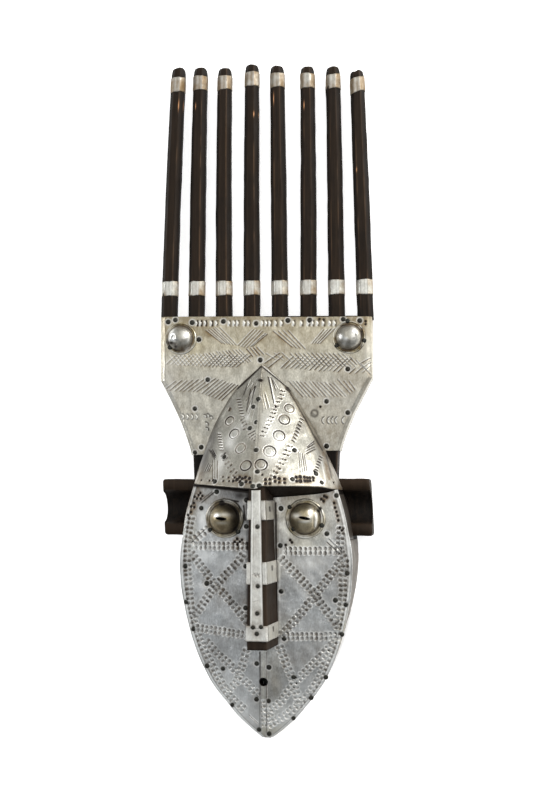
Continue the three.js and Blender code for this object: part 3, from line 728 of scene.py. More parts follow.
def sheet_metal(name, bright, stain, dark, roughness=0.36, stained=0.35, metallic=0.9):
    """Old tinned sheet: bright, stained brown in patches, dark in every mark, lightened by painted
    highlight and darkened by painted shade.
    """
    shader = Shader(name)
    patches = shader.span(shader.noise(22, 5, 0.6), 0.42, 0.72)
    mottle = shader.span(shader.noise(170, 4, 0.65, (1, 0.45, 1)), 0.34, 0.7)
    rust = shader.plus(shader.times(patches, stained), shader.attribute("rust"), clamp=True)
    rust = shader.times(rust, shader.span(mottle, 0, 1, 0.55, 1.0))
    tone = shader.blend(shader.times(mottle, 0.85), bright, tuple(0.76 * v for v in bright))
    tone = shader.blend(shader.share("warm"), tone, WARM_TINT)
    grain = shader.span(shader.noise(900, 2, 0.6, (1, 0.5, 1)), 0.38, 0.66)
    tone = shader.blend(shader.times(grain, 0.3), tone, GRAIN_TINT)
    tone = shader.blend(rust, tone, stain)
    # Painted highlight, partly polish, lightens the colour toward a pale tint
    shine = shader.times(shader.attribute("shine"), shader.span(mottle, 0, 1, 1.0, 0.7), clamp=True)
    tone = shader.blend(shine, tone, HIGHLIGHT_TINT)
    # Grime in marks and painted shade darken the colour and make it less metallic
    dirt = shader.share("dirt", 1.5)
    tone = shader.blend(dirt, tone, dark)
    metal = shader.span(dirt, 0, 1, metallic, 0.3)
    rough = shader.plus(shader.times(rust, 0.25), roughness)
    rough = shader.plus(rough, shader.times(mottle, 0.08))
    looks = {"Base Color": tone, "Metallic": metal, "Specular IOR Level": 0.3, "Roughness": rough}
    shader.fill(shader.surface, looks)
    shader.bump(shader.noise(420, 3, 0.6), 0.12, 0.0004)
    return shader.material


def old_wood(name, deep, brown, rubbed):
    """Nearly black carved wood, browner where hands have rubbed it."""
    shader = Shader(name)
    grain = shader.noise(230, 5, 0.66, (1, 0.05, 1))
    fibre = shader.noise(700, 3, 0.6, (1, 0.04, 1))
    cloud = shader.noise(28, 4, 0.6)
    tone = shader.blend(shader.span(grain, 0.36, 0.64), deep, brown)
    tone = shader.blend(shader.span(fibre, 0.45, 0.65, 0, 0.75), tone, deep)
    tone = shader.blend(shader.span(cloud, 0.5, 0.75, 0, 0.5), tone, deep)
    worn = shader.times(shader.attribute("wear"), shader.span(cloud, 0.3, 0.6, 0.4, 1.0), clamp=True)
    tone = shader.blend(worn, tone, rubbed)
    tone = shader.blend(shader.share("chip"), tone, CHIP_TINT)
    # Painted shade on the prongs' sides, and their dark streaks
    tone = shader.blend(shader.share("dark"), tone, SHADE_TINT)
    rough = shader.span(cloud, 0.3, 0.7, 0.48, 0.68)
    shader.fill(shader.surface, {"Base Color": tone, "Specular IOR Level": 0.12, "Roughness": rough})
    height = shader.plus(shader.times(grain, 0.7), shader.times(fibre, 0.3))
    shader.bump(height, 0.5, 0.0008)
    return shader.material


def plain_floor(name, tone):
    """Pale matt floor, which glows a little beyond the oval of the face."""
    shader = Shader(name)
    middle = np.array([FLOOR_GLOW["middle"][0], FLOOR_GLOW["middle"][1] + CHIN_Y, 0]) * MM
    reach = np.array([*FLOOR_GLOW["reach"], 1]) * MM
    mapping = shader.node("Mapping", {
        "Vector": shader.place,
        "Location": (-middle / reach * [1, 1, 0]).tolist(),
        "Scale": (1 / reach * [1, 1, 0]).tolist(),
    })
    distance = shader.node("VectorMath", {0: mapping.outputs["Vector"]}, "LENGTH").outputs["Value"]
    glow = shader.span(distance, FLOOR_GLOW["from"], FLOOR_GLOW["to"], 0.0, FLOOR_GLOW["strength"])
    shader.fill(shader.surface, {
        "Base Color": colour(tone), "Roughness": 0.9, "Specular IOR Level": 0.1,
        "Emission Color": colour(tone), "Emission Strength": glow,
    })
    return shader.material


BOARD_METAL = sheet_metal("board_sheet", (202, 200, 190), (122, 100, 64), (34, 24, 15), 0.26)
BROW_METAL = sheet_metal("brow_sheet", (198, 197, 188), (108, 88, 60), (26, 18, 12), 0.26)
FACE_METAL = sheet_metal("face_sheet", (206, 208, 208), (112, 92, 66), (28, 20, 14), 0.26)
SIDE_METAL = sheet_metal("side_sheet", (108, 101, 92), (84, 68, 50), (32, 25, 20), 0.45, 0.6, 0.8)
BAND_METAL = sheet_metal("band_sheet", (207, 207, 200), (132, 108, 74), (44, 34, 24), 0.32, 0.45)
EYE_METAL = sheet_metal("eye_brass", (146, 134, 112), (84, 68, 46), (28, 22, 16), 0.34, 0.75)
CREST_METAL = sheet_metal("crest_silver", (172, 169, 160), (96, 76, 50), (40, 32, 24), 0.3, 0.3)
TACK_METAL = sheet_metal("tack_iron", (58, 60, 57), (46, 41, 33), (18, 17, 15), 0.36, 0.5)
WOOD = old_wood("dark_wood", (7, 5, 4), (34, 26, 19), (74, 57, 42))


# Sheets

def even_shares(curve, count, low, high):
    """Values between low and high that lie evenly spaced along a curve."""
    dense = np.linspace(low, high, 3000)
    points = curve(dense)
    steps = np.linalg.norm(np.diff(points, axis=0), axis=1)
    run = np.concatenate([[0], np.cumsum(steps)])
    return np.interp(np.linspace(0, run[-1], count), run, dense)


def crest_points():
    """Board's front with both its sides, from below the waist up to the top edge."""
    limit = CREST_GRID["edge"]
    flat_line = even_shares(
        lambda s: np.stack([s * BOARD["half"], 0 * s], -1), CREST_GRID["columns"], -limit, limit)
    sweep = np.linspace(0, math.pi / 2, CREST_GRID["fold_steps"])[1:]
    drop = np.arange(1, CREST_GRID["wall_steps"]) * CREST_GRID["wall_step"]
    v = np.linspace(0, 1, CREST_GRID["rows"])[:, None]
    s = flat_line[None, :]
    low = BOARD["bottom"] + BOARD["bottom_tilt"] * (s + 1) * BOARD["waist"]
    high = BOARD["top"] - np.where(s < 0, *CREST_GRID["top_insets"])
    y = mix(low, high - BOARD["top_tilt"] * -s * BOARD["half"], v)
    x = s * board_half(y)
    flat = np.stack([x, y, board_height(x, y) + SKIN], -1)

    def wrap(edge, sign):
        base = edge[:, None, :]
        half = board_half(base[..., 1])
        reach = half + SKIN - sign * base[..., 0]
        turn_x = sign * (half + SKIN - reach * (1 - np.sin(sweep)))
        turn_z = base[..., 2] - CREST_GRID["fold"] * (1 - np.cos(sweep))
        turned = grid_of(turn_x, base[..., 1], turn_z)
        end = turned[:, -1:, :]
        z = np.maximum(end[..., 2] - drop, CREST_GRID["foot"])
        return np.concatenate([turned, grid_of(end[..., 0], end[..., 1], z)], 1)

    left = wrap(flat[:, 0], -1)[:, ::-1]
    right = wrap(flat[:, -1], 1)
    return np.concatenate([left, flat, right], 1)


def brow_points(left):
    """One side of the hood, from its flank to the lapped seam on the ridge."""
    low, high, grow = -BROW_GRID["edge"], BROW["seam"], SKIN
    if not left:
        low, high, grow = BROW["seam"] - BROW_GRID["overlap"], BROW_GRID["edge"], SKIN + BROW_GRID["lap"]
    columns = BROW_GRID["columns"]
    level = BROW_GRID["even_at"]
    s = even_shares(lambda s: brow_point(s, level + 0 * s, SKIN), columns, low, high)[None, :]
    v = np.linspace(0, 1, BROW_GRID["rows"])[:, None] ** BROW_GRID["crowd"]
    points = brow_point(*np.broadcast_arrays(s, v), grow)
    if not left:
        points[..., 2] += BROW_GRID["lip"] * bell(s - low, BROW_GRID["lip_width"])
    return points


def cheek_points(left):
    """One cheek from its rolled rim to the seam down the middle."""
    sign, seam = (-1, CHEEK_SEAMS["left"]) if left else (1, CHEEK_SEAMS["right"])
    v = np.linspace(0, 1, CHEEK_GRID["rows"])[:, None]
    u = np.linspace(0, 1, CHEEK_GRID["columns"])[None, :]
    rim_x = FACE_CENTRE + sign * CHEEK_GRID["rim"]
    top = undercut_edge(mix(rim_x, seam, u)) - CHEEK_GRID["short"]
    y = mix(CHEEK_GRID["chin"], top, v)
    half = face_half(y)
    outer = FACE_CENTRE + sign * half
    far = outer - sign * 2 * half + sign
    inner = np.minimum(seam, far) if left else np.maximum(seam, far)
    x = mix(outer, inner, u ** CHEEK_GRID["crowd"])
    z = face_height(x, y) + SKIN
    if not left:
        below = smooth((CHEEK_LAP["top"] - y) / CHEEK_LAP["top_fade"])
        z = z + CHEEK_LAP["rise"] * smooth((CHEEK_LAP["to"] - x) / CHEEK_LAP["fade"]) * below
    flat = np.stack([x, y, z], -1)
    roll = np.linspace(0, CHEEK_ROLL["turn"] * math.pi, CHEEK_ROLL["steps"])[1:]
    edge = flat[:, :1, :]
    rolled_x = edge[..., 0] + sign * (CHEEK_ROLL["radius"] + CHEEK_ROLL["out"]) * np.sin(roll)
    rolled_z = edge[..., 2] - CHEEK_ROLL["radius"] * (1 - np.cos(roll))
    rolled = grid_of(rolled_x, edge[..., 1], rolled_z)
    grid = np.concatenate([rolled[:, ::-1], flat], 1)
    return grid if left else grid[:, ::-1]


def side_points(sign, low, high, foot):
    y = np.linspace(low, high, int((high - low) / SIDE_SHEET["row"]))[:, None]
    u = np.linspace(0, 1, SIDE_SHEET["columns"])[None, :]
    z = mix(foot, face_rim(y) - SIDE_SHEET["short"], u)
    half = face_half(y) + face_flare(y) * (1 - z / face_rim(y))
    grid = grid_of(FACE_CENTRE + sign * (half + SKIN), y, z)
    return grid if sign < 0 else grid[:, ::-1]


def eye_hole(centres):
    x, y, z = centres.T
    hole = np.hypot(x - MOUTH[0], y - MOUTH[1]) < MOUTH_RADIUS
    for place in EYES.values():
        hole |= np.hypot(x - place[0], y - place[1]) < EYE_BORE
    inside = BEHIND_NOSE["inside"]
    behind_nose = (y > NOSE["bottom"] + BEHIND_NOSE["above"]) & (z < BEHIND_NOSE["below"])
    behind_nose &= (x > nose_edge(y, z, 0) + inside) & (x < nose_edge(y, z, 1) - inside)
    return hole | behind_nose


def under_hood(centres):
    x, y, _ = centres.T
    offset = x - brow_ridge(y)
    return (y < BROW["apex"] - UNDER_HOOD) & (np.abs(offset) < brow_half(y, offset < 0) - UNDER_HOOD)


# Wood

class Carving:
    """Closed shells of wood gathered into one mesh."""

    def __init__(self):
        self.points, self.faces, self.layers, self.count = [], [], [], 0

    def add(self, points, faces, wear=0.0, dark=0.0, chip=0.0):
        points = np.asarray(points, float).reshape(-1, 3)
        self.points.append(points)
        self.faces += [[number + self.count for number in face] for face in faces]
        shape = len(points)
        self.layers.append(np.stack([np.broadcast_to(np.ravel(v), shape) for v in (wear, dark, chip)]))
        self.count += shape

    def loft(self, rings, wear=0.0, dark=0.0, chip=0.0):
        """Closed solid through rings that run anticlockwise as seen from its far end."""
        numbers = numbered(rings.shape)
        looped = np.concatenate([numbers, numbers[:, :1]], 1)
        faces = quads_of(looped).tolist()
        faces += [numbers[0][::-1].tolist(), numbers[-1].tolist()]
        if self.volume(rings.reshape(-1, 3), faces) < 0:
            faces = [face[::-1] for face in faces]
        self.add(rings, faces, wear, dark, chip)

    @staticmethod
    def volume(points, faces):
        quads = np.array([face for face in faces if len(face) == 4])
        a, b, c, d = (points[quads[:, k]] for k in range(4))
        return (a * (np.cross(b, c) + np.cross(c, d))).sum()

    def build(self, name, material):
        layers = np.concatenate(self.layers, 1)
        attributes = {"wear": layers[0], "dark": layers[1], "chip": layers[2]}
        return make_object(name, np.concatenate(self.points), self.faces, material, attributes)


def octagon(index, y, scale, grow, steps):
    """Section of a prong as a loop of points, a few on each of its eight flats."""
    half_x = prong_width(index, y) / 2 * scale + grow
    half_z = PRONG["thickness"] / 2 * scale + grow
    chamfer = PRONG["chamfer"] * scale
    corners = []
    for a, b in ((1, 1), (-1, 1), (-1, -1), (1, -1)):
        pair = [(a * half_x, b * (half_z - chamfer)), (a * (half_x - chamfer), b * half_z)]
        corners += pair if a * b > 0 else pair[::-1]
    loop = []
    for corner, following in zip(corners, corners[1:] + corners[:1]):
        for t in steps:
            loop.append([mix(corner[k], following[k], t) for k in (0, 1)])
    x, z = (np.stack([np.broadcast_to(p[k], y.shape) for p in loop], -1) for k in (0, 1))
    return grid_of(prong_centre(index, y)[..., None] + x, y[..., None], PRONG["depth"] + z)


def add_prong(wood, index):
    """Eight-sided prong, rounded and worn at its tip."""
    tip = PRONG_LENGTHS[index]
    foot = board_top(PRONG["first"] + PRONG["pitch"] * index) - PRONG["sunk"]
    rows = np.linspace(foot, tip - PRONG_TIP["from"], PRONG_ROWS)
    y = np.concatenate([rows, tip - np.array(PRONG_TIP["ends"])])
    from_tip = tip - y
    rounding = np.sqrt(np.clip(1 - (1 - np.clip(from_tip / PRONG_TIP["round"], 0, 1)) ** 2, 0, 1))
    taper = mix(PRONG_TIP["taper"], 1, smooth(from_tip / PRONG_TIP["reach"]))
    scale = (PRONG_TIP["least"] + (1 - PRONG_TIP["least"]) * rounding) * taper
    rings = octagon(index, y, scale, 0.0, PRONG_STEPS)
    centre = grid_of(prong_centre(index, y), y, PRONG["depth"])[:, None, :]
    spokes = rings - centre
    turn = np.arange(rings.shape[1]) * 0.68
    seed = 300 + 9 * index
    uneven = fractal(np.broadcast_to(turn * 6, rings.shape[:2]), y[:, None] + 0 * turn, 17, seed)
    sway = noise(y, 0 * y, 45, seed + 5)[:, None]
    spokes = spokes * (1 + 0.03 * uneven + 0.014 * sway)[..., None]
    at_tip = smooth(1 - from_tip / 5)[:, None]
    across = spokes[..., 0]
    spokes[..., 1] -= 0.9 * at_tip * np.abs(noise(across, 0 * across, 3.5, seed + 3))
    if index == SPLIT_PRONG["index"]:
        sunk = SPLIT_PRONG["left"] * smooth((SPLIT_PRONG["slope_at"] - across) / 3)
        notch = SPLIT_PRONG["notch"] * bell(across - SPLIT_PRONG["notch_at"], SPLIT_PRONG["width"])
        spokes[..., 1] -= at_tip * (sunk + notch)
    if index == FLAT_PRONG["index"]:
        level = bell(from_tip[:, None] - FLAT_PRONG["below"], FLAT_PRONG["length"])
        spokes[..., 0] -= FLAT_PRONG["depth"] * level * (across < FLAT_PRONG["from"])
    wood.loft(centre + spokes, *prong_looks(index, spokes, y[:, None], turn, seed))


def prong_looks(index, spokes, y, turn, seed):
    """Wear of the rubbed ridges, painted shade on the sides with dark streaks, and pale chips of one prong.
    """
    across = spokes[..., 0]
    corner = np.tile([1.0, 0.0, 0.0, 1.0], 8)[None, :]
    rubbed = np.clip(fractal(turn * 5, y, 22, seed + 7) + 0.45, 0, 1)
    front = np.clip(spokes[..., 2] / 6, -0.2, 1)
    ridge = np.where(across < 0, *PRONG_RIDGES[index])
    wear = ridge * corner * rubbed * (0.2 + 0.8 * (front > 0)) + 0.2 * np.clip(front, 0, 1)
    # Painted shade: the prong's left and right sides are darkened
    shaded = 0.75 * smooth((-across - 4.4) / 1.4) + 0.5 * smooth((across - 4.8) / 1.4)
    streak = 0.25 * np.clip(noise(turn * 8, y * 0.12, 5, seed + 8), 0, 1)
    chip = 0 * wear
    if index in PRONG_CHIPS:
        below, size, which = PRONG_CHIPS[index]
        band_low = PRONG_LENGTHS[index] - UPPER_BAND_DROPS[index]
        chip = bell(y - band_low + below, size) * corner * (across * which > 0) * (front > 0)
    return wear * (1 - shaded), np.clip(shaded + streak, 0, 1), chip


def add_board(wood):
    """Flat board with square edges, left by the adze on its back in shallow scallops."""
    columns, side_rows = BOARD["columns"], BOARD["side_rows"]
    lower = np.linspace(NECK["from"], BOARD["bottom"], BOARD["neck_rows"])[:-1]
    y = np.concatenate([lower, np.linspace(BOARD["bottom"], BOARD["top"], BOARD["rows"])])
    grid_y, grid_s = np.meshgrid(y, np.linspace(-1, 1, columns), indexing="ij")
    x = grid_s * (board_half(grid_y) - 0.8 * np.abs(grid_s) ** 12)
    climb = np.clip((grid_y - BOARD["tilt_from"]) / BOARD["tilt_reach"], 0, 1)
    tilted = grid_y + BOARD["top_tilt"] * x * climb
    top = np.stack([x, tilted, board_height(x, grid_y)], -1)
    scallop = 0.5 * np.abs(noise(x + 0.3 * grid_y, grid_y * 0.5, 9, 41)) + 0.35 * fractal(x, grid_y, 30, 43)
    under = np.stack([x, tilted, np.maximum(scallop + 0.8 * np.abs(grid_s) ** 20, 0)], -1)
    shares = np.linspace(0, 1, side_rows + 2)[None, 1:-1, None]
    right = mix(top[:, -1:, :], under[:, -1:, :], shares)
    left = mix(under[:, :1, :], top[:, :1, :], shares)
    rings = np.concatenate([top, right, under[:, ::-1], left], 1)
    corners = np.array([0, columns - 1])
    beside = np.array([columns, columns + side_rows - 1])
    edge = np.zeros(rings.shape[1])
    for start in (0, columns + side_rows):
        edge[np.concatenate([corners, beside]) + start] = 1
    wood.loft(rings, wear=np.broadcast_to(0.5 * edge, rings.shape[:2]))


def hollow_depth(s, y):
    """Ceiling of the carved-out back, and half its width."""
    t = (y - HOLLOW["from"]) / (HOLLOW["to"] - HOLLOW["from"])
    arch = np.clip((y - HOLLOW["to"] + HOLLOW["arch"]) / (HOLLOW["arch"] + 1), 0, 1)
    half = np.maximum((face_half(y) - HOLLOW["wall"]) * np.sqrt(1 - arch * arch), 3)
    ends = np.sqrt(1 - 0.6 * np.clip(2 * t - 1, -1, 1) ** 12)
    deep = (face_height(FACE_CENTRE, y) - HOLLOW["front"]) * ends
    return mix(HOLLOW["mouth"], deep, np.sqrt(1 - 0.9 * np.abs(s) ** 6)), half


def face_rings():
    """Sections of the face from the chin up: outer side, front, outer side, and the hollow within."""
    ends = FACE_GRID["end_rows"]
    inside = np.linspace(HOLLOW["from"], HOLLOW["to"], FACE_GRID["rows"])
    before = np.linspace(0, HOLLOW["from"], ends)
    after = np.linspace(HOLLOW["to"], FACE_HALF_WIDTHS[-1][0] + 1, ends)
    y = np.concatenate([before, inside, after])[:, None]
    hollowed = np.zeros(y.shape)
    hollowed[ends:-ends] = 1
    up = np.linspace(0, 1, FACE_GRID["side"])[None, :]
    s = np.sin(np.linspace(-1, 1, FACE_GRID["columns"]) * math.pi / 2)[None, :]
    half, rim, flare = face_half(y), face_rim(y), face_flare(y)

    def wall(sign, share):
        return grid_of(FACE_CENTRE + sign * (half + flare * (1 - share)), y, rim * share)

    top_x = FACE_CENTRE + s * half
    top = grid_of(top_x, y, face_height(top_x, y))
    deep, inner_half = hollow_depth(s, y)
    chisel = 0.7 * np.abs(noise(top_x * 0.8, y * 0.45, 7, 51)) + 0.3 * fractal(top_x, y, 16, 53)
    inner = grid_of(FACE_CENTRE + s * inner_half, y, hollowed * np.maximum(deep - chisel, 1))
    mouth_right, mouth_left = inner[:, -1:] * [1, 1, 0], inner[:, :1] * [1, 1, 0]
    shares = np.linspace(0, 1, 8)[None, 1:-1, None]
    climb = mix(mouth_right, inner[:, -1:], shares)
    fall = mix(inner[:, :1], mouth_left, shares)
    outside = [wall(-1, up), top[:, 1:-1], wall(1, up[:, ::-1])]
    return np.concatenate([*outside, mouth_right, climb, inner[:, ::-1], fall, mouth_left], 1)


def bored_face():
    """Face shell with its eye and mouth holes bored right through."""
    shell = Carving()
    shell.loft(face_rings())
    block = shell.build("face_block", WOOD)
    tools = []
    turn = np.linspace(0, 2 * math.pi, 33)[:-1]
    ends = np.array([[10.0], [75.0]])
    for (x, y), radius in [(EYES["left"], EYE_BORE), (EYES["right"], EYE_BORE), (MOUTH, MOUTH_RADIUS)]:
        cutter = Carving()
        cutter.loft(grid_of(x + radius * np.cos(turn), y + radius * np.sin(turn), ends))
        tools.append(cutter.build("bore_tool", WOOD))
        step = block.modifiers.new("bore", "BOOLEAN")
        step.operation, step.solver, step.object = "DIFFERENCE", "EXACT", tools[-1]
    bored = block.evaluated_get(bpy.context.evaluated_depsgraph_get())
    mesh = bored.to_mesh()
    points = np.empty(len(mesh.vertices) * 3)
    mesh.vertices.foreach_get("co", points)
    points = points.reshape(-1, 3) / MM - [0, CHIN_Y, 0]
    faces = [list(polygon.vertices) for polygon in mesh.polygons]
    bored.to_mesh_clear()
    for tool in [block, *tools]:
        bpy.data.objects.remove(tool)
    return points, faces


def add_hood(wood):
    """Hood over the face, sunk into the board and the face behind it."""
    inside_z, inside_y = 16, 233
    s = even_shares(lambda s: brow_point(s, 0.1 + 0 * s, 0), 90, -1, 1)[None, :]
    v = np.linspace(0, 1, 60)[:, None]
    top = brow_point(*np.broadcast_arrays(s, v), 0.0)
    edge = top[:1]
    face_y = undercut_edge(edge[..., 0])
    face_z = np.minimum(face_height(edge[..., 0], face_y), edge[..., 2])
    meet = np.stack([edge[..., 0], np.minimum(face_y, edge[..., 1]), face_z], -1)
    sunk = meet - [0, -1.5, 6]
    sunk[..., 2] = np.maximum(sunk[..., 2], inside_z)
    start, end = sunk.copy(), top[-1:].copy()
    start[..., 1] = np.maximum(start[..., 1], inside_y)
    start[..., 2] = end[..., 2] = inside_z
    shares = np.linspace(0, 1, 8)[1:-1, None, None]
    grid = np.concatenate([start, sunk, meet, mix(meet, edge, shares), top, end])
    right, left = grid[:, -1:].copy(), grid[:, :1].copy()
    right[..., 2] = left[..., 2] = inside_z
    wood.loft(np.concatenate([grid, right, left], 1), wear=0.1)


def add_nose(wood):
    y = np.linspace(NOSE["bottom"], NOSE["top"] + 1.5, 90)[:, None]
    across = np.linspace(0, 1, 6)[None, :]
    down = np.linspace(NOSE["front"], NOSE["foot"], 11)[None, 1:]
    front_x = mix(nose_edge(y, NOSE["front"], 0), nose_edge(y, NOSE["front"], 1), across)
    crown = 0.35 * (1 - (2 * across - 1) ** 2) - 0.3
    front = grid_of(front_x, y, NOSE["front"] + crown)
    right, left = (grid_of(nose_edge(y, down, side), y, down) for side in (1, 0))
    rings = np.concatenate([front, right, left[:, ::-1]], 1)
    centre = rings.mean(1, keepdims=True)
    turn = np.arange(rings.shape[1])[None, :] * 4.0
    rings = centre + (rings - centre) * (1 + 0.014 * fractal(turn, y, 12, 61))[..., None]
    wood.loft(rings, wear=0.2 + np.clip((rings[..., 2] - 70) / 20, 0, 1) * 0.14)


def add_ear(wood, sign):
    """Grooved lug that sticks out of the side of the face."""
    bottom, top, back, front = EAR["bottom"], EAR["top"], EAR["back"], EAR["front"]
    middle, reach = (bottom + top) / 2, (top - bottom) / 2 - EAR["flange"]
    loop = [(bottom, back), (top, back), (top, front), (top - EAR["flange"], front)]
    for angle in np.linspace(0, math.pi, 14)[1:-1]:
        loop.append((middle + reach * math.cos(angle), front - EAR["groove"] * math.sin(angle)))
    loop += [(bottom + EAR["flange"], front), (bottom, front)]
    outline = []
    for corner, following in zip(loop, loop[1:] + loop[:1]):
        for t in ((0.08, 0.5, 0.92) if math.dist(corner, following) > 6 else (0.5,)):
            outline.append(mix(np.array(corner), np.array(following), t))
    outline = np.array(outline)
    side = "left" if sign < 0 else "right"
    inner, outer = EAR[f"{side}_root"], EAR[side]
    share = np.concatenate([np.linspace(0, EAR_END["from"], EAR_END["even"]), EAR_END["at"]])
    shrink = np.concatenate([np.ones(EAR_END["even"]), EAR_END["sizes"]])
    centre = outline.mean(0)
    rings = []
    for place, scale in zip(mix(inner, outer, share), shrink):
        section = centre + (outline - centre) * scale
        lean = EAR["lean"] * (middle - section[:, 0])
        rings.append(np.column_stack([place + lean, section]))
    rings = np.stack(rings)
    rings[..., 2] += 0.35 * noise(rings[..., 0], rings[..., 1], 9, 71 + sign)
    rings[..., 1] += 0.3 * noise(rings[..., 0], rings[..., 2], 9, 75 + sign)
    wood.loft(rings, wear=0.35 * np.clip(rings[..., 2] / front, 0, 1) ** 6)


def carve_mask():
    wood = Carving()
    for index in range(PRONG["count"]):
        add_prong(wood, index)
    add_board(wood)
    wood.add(*bored_face())
    add_hood(wood)
    add_nose(wood)
    add_ear(wood, -1)
    add_ear(wood, 1)
    stand_for(wood.build("wooden_mask_carved", WOOD), "wooden_mask")


# Bosses, bands and tacks

def turned(normal):
    """Axes with z along a normal and x as near as can be to the mask's own x."""
    z = unit(np.array(normal, float))
    x = unit(np.array([1.0, 0, 0]) - z[0] * z)
    return np.stack([x, np.cross(z, x), z])


def face_normal(x, y, step=1.0):
    slope_x = (face_height(x + step, y) - face_height(x - step, y)) / (2 * step)
    slope_y = (face_height(x, y + step) - face_height(x, y - step)) / (2 * step)
    return np.array([-float(slope_x), -float(slope_y), 1.0])


def boss(node, material, at, axes, size, seed, looks):
    """Flanged dome of thin metal; a dome with a slit has the slit as its inner edge."""
    turns = np.linspace(0, 2 * math.pi, BOSS_GRID["round"])[None, :]
    out = np.linspace(0, 1, BOSS_GRID["dome"])[:, None]
    dome, flange, height = size["dome"], size["flange"], size["height"]
    hole_x, hole_y, rise, tilt = looks.get("slit", (0.05, 0.05, 0, 0))
    a, b = hole_x / 2 * np.cos(turns), hole_y / 2 * np.sin(turns)
    x = mix(a, dome * np.cos(turns), out)
    y = mix(b + rise + tilt * a, dome * np.sin(turns), out)
    reach = np.clip(np.hypot(x, y) / dome, 0, 1)
    z = SHEET + (height - SHEET) * np.sqrt(np.maximum(1 - reach ** 2.1, 0))
    for dent_x, dent_y, wide, deep in looks["dents"]:
        z = z - deep * bell(np.hypot(x - dent_x, y - dent_y), wide) * (reach < 0.98)
    z = z + 0.2 * fractal(x + 50, y, 6, seed) * np.sin(reach * math.pi)
    rim = np.linspace(0, 1, BOSS_GRID["flange"] + 1)[1:, None]
    wave = fractal(np.cos(turns) * 14 + 40, np.sin(turns) * 14, 7, seed + 1)
    reach_out = flange + 0.45 * noise(np.cos(turns) * 9 + 40, np.sin(turns) * 9, 4, seed + 2)
    edge_x = mix(dome * np.cos(turns), reach_out * np.cos(turns), rim)
    edge_y = mix(dome * np.sin(turns), reach_out * np.sin(turns), rim)
    bead = 0.55 * bell(rim - 0.72, 0.16) - 0.3 * bell(rim - 0.42, 0.14)
    edge_z = SHEET + BOSS_GRID["lift"] + bead * (1 + 0.5 * wave) + 0.25 * wave * rim - 0.5 * rim ** 8
    grid_x = np.concatenate([x[:1], x, edge_x, edge_x[-1:] * 0.995])
    grid_y = np.concatenate([y[:1], y, edge_y, edge_y[-1:] * 0.995])
    grid_z = np.concatenate([z[:1] - BOSS_GRID["turned_down"], z, edge_z, 0 * edge_z[-1:] - 0.05])
    points = np.stack([grid_x, grid_y, grid_z], -1) @ axes + np.asarray(at)
    photo = to_photo(points)
    for *ends, width, deep in looks.get("creases", []):
        points += axes[2] * (-deep * bell(near_line(photo, ends[:2], ends[2:]), width))[..., None]
    layers = boss_layers(grid_x, grid_y, photo, size, seed, looks)
    numbers = numbered(points.shape)
    numbers[:, -1] = numbers[:, 0]
    made = make_object(f"{node}_made", points, quads_of(numbers)[:, ::-1], material, layers)
    stand_for(made, node)


def boss_layers(x, y, photo, size, seed, looks):
    """Grime and painted shade in a boss's grooves and round its slit, stains and polish with painted
    highlight on its flange, and its own marks.
    """
    reach = np.hypot(x, y)
    beyond = smooth((reach - size["dome"]) / 0.8)
    groove = bell(reach - size["dome"] - 0.3, 0.8) * (0.75 + 0.25 * fractal(x, y, 6, seed + 3))
    # Dark ring at the flange's edge: grime, partly a painted shadow where it meets the sheet
    groove += 0.8 * bell(reach - size["flange"] - 0.2, 0.6) * (0.6 + 0.6 * fractal(x, y, 8, seed + 4))
    spots = beyond * np.clip(0.15 + 0.5 * fractal(x, y, 5, seed + 5), 0, 1)
    # Polish and painted highlight brighten the flange
    flange_polish_and_highlight = beyond * np.clip(size["bright"] + 0.4 * fractal(x, y, 9, seed + 6), 0, 1)
    layers = {
        "dirt": 0.6 * groove,
        "rust": 0.7 * bell(reach - size["dome"] - 0.6, 1.3) + spots,
        "shine": flange_polish_and_highlight,
        "warm": beyond * size["warmth"] * np.clip(0.8 + 0.6 * fractal(x, y, 7, seed + 7), 0, 1),
    }
    # Painted shade darkens the rows at the slit's edge
    if "slit" in looks:
        rows = np.arange(len(x))[:, None]
        layers["dirt"] = layers["dirt"] + 0.9 * bell(rows, 1.4)
    for field, marks in looks["marks"].items():
        for px, py, across, up, amount in marks:
            layers[field] = layers[field] + amount * in_patch(photo, (px, py), (across, up))
    layers = {field: np.clip(values, 0, 1) for field, values in layers.items()}
    layers["shine"] = np.clip(layers["shine"] - flange_polish_and_highlight * layers["rust"], 0, 1)
    return layers


